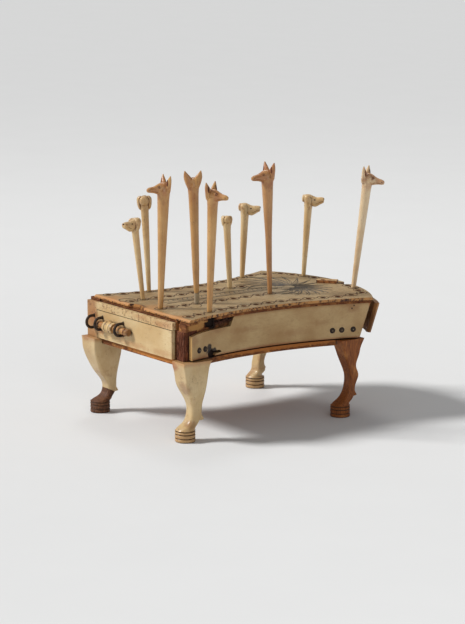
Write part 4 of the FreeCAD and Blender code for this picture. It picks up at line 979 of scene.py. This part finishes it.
class GAME_OT_studs(bpy.types.Operator):
    """Give each stud its dark rim and pale heart, square to the panel beside it"""
    bl_idname = "game.studs"
    bl_label = "Studs"

    def execute(self, context):
        panels = {1: surface("near_side_panel"), -1: surface("far_side_panel")}
        rims, hearts = [], []
        for side, place in stud_faces():
            beside = place + Vector((side * STUD_OUT, STUD_ASIDE, STUD_ABOVE))
            _, normal, _, _ = panels[side].ray_cast(beside, Vector((-side, 0, 0)))
            if normal.x * side < 0:
                normal.negate()
            rims.append(bead(place / MM, normal, UP, STUD_RIM, 0.4))
            hearts.append(bead(place / MM + normal * HEART_PROUD, normal, UP, STUD_HEART, 0.0))
        finished("stud_rims", rims, "root", "stud_dark", "ivory_side")
        finished("stud_hearts", hearts, "root", "line_pale", "ivory_side")
        return {"FINISHED"}


# Splinters on the post's front and side: how many, middle and half sizes, each fixed or drawn.
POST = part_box("front_right_post")
POST_CHIPS = (
    (22, ((32.6, 37.8), POST[0].y / MM, (44.5, 53.5)), ((0.25, 0.5), 0.3, (1.6, 4.2))),
    (7, (POST[1].x / MM, (-61.9, -60.3), (45.0, 53.0)), (0.2, (0.25, 0.45), (1.5, 3.6))))
# Places along the broken corner, how far back from x it leans, and its splinters' half sizes.
CORNER_PLACES = (-39.6, -38.1, -36.8, -35.6, -34.2, -32.9, -31.6, -30.4)
CORNER_X, CORNER_Y, CORNER_LEAN, CORNER_LEVELS = 34.2, -42, 0.09, (57.6, 59.6)
CORNER_SIZES = ((0.5, 1.0), (0.8, 1.5), (0.4, 1.0))


class GAME_OT_splinters(bpy.types.Operator):
    """Splinter the bare post and the wood in the broken corner"""
    bl_idname = "game.splinters"
    bl_label = "Splinters"

    def execute(self, context):
        chance = random.Random(5)
        chips = [
            (drawn(chance, middle), drawn(chance, sizes))
            for count, middle, sizes in POST_CHIPS for _ in range(count)]
        ragged("post_splinters", chips, "wood_post", "wood_post", chance)
        chips = []
        for y in CORNER_PLACES:
            x = CORNER_X - CORNER_LEAN * (y - CORNER_Y)
            middle = drawn(chance, ((x - 0.3, x + 0.5), y, CORNER_LEVELS))
            chips.append((middle, drawn(chance, CORNER_SIZES)))
        ragged("corner_splinters", chips, "wood_dark", "wood_board", chance)
        return {"FINISHED"}


# The strip's middle, half length, foot and height, how proud and thick it is, and two levels at
# which the panel is whole.
STRIP_MIDDLE, STRIP_HALF, STRIP_FOOT, STRIP_HEIGHT = -4.5, 49.5, 56.8, 3.1
STRIP_PROUD, STRIP_WALL, WHOLE_LEVELS, FAR_OUTSIDE = 0.02, 0.14, (56.0, 56.9), -80


class GAME_OT_panel_edge(bpy.types.Operator):
    """Close the far panel's upper edge, in its own ivory, outside the peg holes"""
    bl_idname = "game.panel_edge"
    bl_label = "Far panel's edge"

    def execute(self, context):
        panel = surface("far_side_panel")
        low, high = WHOLE_LEVELS
        bpy.ops.mesh.primitive_grid_add(x_subdivisions=60, y_subdivisions=2, size=2)
        strip = context.object
        for vert in strip.data.vertices:
            y = (STRIP_MIDDLE + STRIP_HALF * vert.co.x) * MM
            z = STRIP_FOOT + STRIP_HEIGHT * (vert.co.y + 1) / 2
            outside = [
                panel.ray_cast(Vector((FAR_OUTSIDE * MM, y, level * MM)), Vector((1, 0, 0)))[0].x
                for level in WHOLE_LEVELS]
            slope = (outside[1] - outside[0]) / (high - low)
            vert.co = (outside[0] + slope * (z - low) - STRIP_PROUD * MM, y, z * MM)
        strip = thickened([strip], STRIP_WALL, 0)
        finished("far_panel_edge", strip, "root", "ivory_side", "ivory_side")
        return {"FINISHED"}


# Middle of each hoof in plan and the slot of its finish, and the grooves' levels.
HOOVES = {
    "front_right": (37.7, -61.2, "ivory_leg"), "front_left": (-42.2, -60.2, "wood_restored"),
    "back_right": (40.6, 36.0, "wood_leg"), "back_left": (-41.0, 40.8, "ivory_leg")}
BAND_LEVELS, BAND_RADIUS, BAND_WIRE = (1.98, 4.02, 5.58), 4.82, 0.52


class GAME_OT_hoof_bands(bpy.types.Operator):
    """Darken the grooves between the bands of the hooves"""
    bl_idname = "game.hoof_bands"
    bl_label = "Hoof bands"

    def execute(self, context):
        for name, (x, y, slot) in HOOVES.items():
            bands = [hoop((x, y, level), BAND_RADIUS, BAND_WIRE, 48) for level in BAND_LEVELS]
            finished("hoof_bands_" + name, bands, "root", "line_dark", slot)
        return {"FINISHED"}


# The bolt's end line, and the staples' roots: level and size, and places along the front.
END_LINE_X, END_LINE_UP, END_LINE_RADIUS, END_LINE_WIRE = -7.6, 3.1, 1.78, 0.32
ROOT_LEVELS = ((52.6, 1.0), (46.4, 0.85))
ROOTS = (("keeper_roots", "root", (-40.6,)), ("drawer_staple_roots", "drawer", (-32.7, -13.2)))


class GAME_OT_lock(bpy.types.Operator):
    """Add the bolt's end line and the roots of the staples"""
    bl_idname = "game.lock"
    bl_label = "Bolt and staples"

    def execute(self, context):
        low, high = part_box("bolt")
        middle = (END_LINE_X, (low.y + high.y) / 2 / MM, low.z / MM + END_LINE_UP)
        ring = hoop(middle, END_LINE_RADIUS, END_LINE_WIRE, 32, (0, math.pi / 2, 0))
        finished("bolt_end_line", [ring], "bolt", "line_brown", "ivory_bolt")
        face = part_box("front_fascia")[0].y / MM
        for name, body, places in ROOTS:
            knobs = [
                bead(Vector((x, face, z)), Vector((0, -1, 0)), UP, (size * 1.25, size, 1.0), 0.4)
                for x in places for z, size in ROOT_LEVELS]
            finished(name, knobs, body, "staple_metal", "staple_metal")
        return {"FINISHED"}


# The stage in metres, and the photograph's view: heading and rise in degrees.
FLOOR_FAINT = 0.97
WORLD_COLOUR, WORLD_STRENGTH = (0.86, 0.87, 0.9, 1), 0.28
LAMPS_AIM, MAIN_LAMP = Vector((0, 0, 0.05)), (-0.7, -0.9, 1.1)
FILL_LAMPS = (("Side lamp", (0.95, -0.35, 0.45), 0.5), ("Top lamp", (-0.5, 0.3, 0.9), 0.3))
VIEW_HEADING, VIEW_RISE, VIEW_DISTANCE = 53.98, 11.14, 1.3854
VIEW_TARGET = Vector((-0.05674, 0.03694, 0.04))


def lamp_at(kind, name, place, power):
    """A lamp that looks at the object."""
    bpy.ops.object.light_add(type=kind, location=place)
    lamp = bpy.context.object
    lamp.name = name
    lamp.data.energy = power
    lamp.rotation_euler = (LAMPS_AIM - lamp.location).to_track_quat("-Z", "Y").to_euler()
    return lamp


class GAME_OT_stage(bpy.types.Operator):
    """Floor, lamps, world and camera"""
    bl_idname = "game.stage"
    bl_label = "Stage"

    def execute(self, context):
        made = context.scene.game_stage
        bpy.ops.object.select_all(action="DESELECT")
        bpy.ops.mesh.primitive_plane_add(size=40, location=(0, 0, 0))
        floor = context.object
        floor.name = "floor"
        base = Finish("Floor")
        base.colour = base.mix(
            base.noise(0.02), tuple(made.floor), tuple(c * FLOOR_FAINT for c in made.floor))
        base.set(Specular_IOR_Level=0.05)
        floor.data.materials.append(base.done(0.95))
        world = bpy.data.worlds.new("Studio")
        context.scene.world = world
        world.use_nodes = True
        sky = world.node_tree.nodes["Background"].inputs
        sky[0].default_value, sky[1].default_value = WORLD_COLOUR, WORLD_STRENGTH
        for name, place, size in FILL_LAMPS:
            lamp = lamp_at("AREA", name, place, made.fill)
            lamp.data.shape = "DISK"
            lamp.data.size = size
        lamp = lamp_at("SUN", "Main lamp", MAIN_LAMP, made.key)
        lamp.data.angle = made.softness
        turn, rise = math.radians(VIEW_HEADING), math.radians(VIEW_RISE)
        back = Vector((
            math.sin(turn) * math.cos(rise), -math.cos(turn) * math.cos(rise), math.sin(rise)))
        bpy.ops.object.camera_add(location=VIEW_TARGET + back * VIEW_DISTANCE)
        camera = context.object
        camera.rotation_euler = (-back).to_track_quat("-Z", "Y").to_euler()
        camera.data.sensor_width = 36
        camera.data.lens = 144.4
        camera.data.clip_start = 0.05
        camera.data.clip_end = 20
        context.scene.camera = camera
        context.scene.view_settings.view_transform = "Standard"
        return {"FINISHED"}


OPERATORS = (
    GAME_OT_finishes, GAME_OT_rings, GAME_OT_palm, GAME_OT_jackals, GAME_OT_hounds,
    GAME_OT_studs, GAME_OT_splinters, GAME_OT_panel_edge, GAME_OT_hoof_bands, GAME_OT_lock,
    GAME_OT_stage)


class GAME_PT_panel(bpy.types.Panel):
    """Steps that dress the game box"""
    bl_idname = "GAME_PT_panel"
    bl_label = "Game box"
    bl_space_type = "VIEW_3D"
    bl_region_type = "UI"
    bl_category = "Game box"

    def draw(self, context):
        for operator in OPERATORS:
            self.layout.operator(operator.bl_idname)


CLASSES = (RingSettings, PalmSettings, StageSettings, *OPERATORS, GAME_PT_panel)


def register():
    for item in CLASSES:
        bpy.utils.register_class(item)
    bpy.types.Scene.game_rings = PointerProperty(type=RingSettings)
    bpy.types.Scene.game_palm = PointerProperty(type=PalmSettings)
    bpy.types.Scene.game_stage = PointerProperty(type=StageSettings)


def unregister():
    del bpy.types.Scene.game_rings
    del bpy.types.Scene.game_palm
    del bpy.types.Scene.game_stage
    for item in reversed(CLASSES):
        bpy.utils.unregister_class(item)


def main():
    register()
    for operator in OPERATORS:
        group, name = operator.bl_idname.split(".")
        getattr(getattr(bpy.ops, group), name)()


if __name__ == "__main__":
    main()
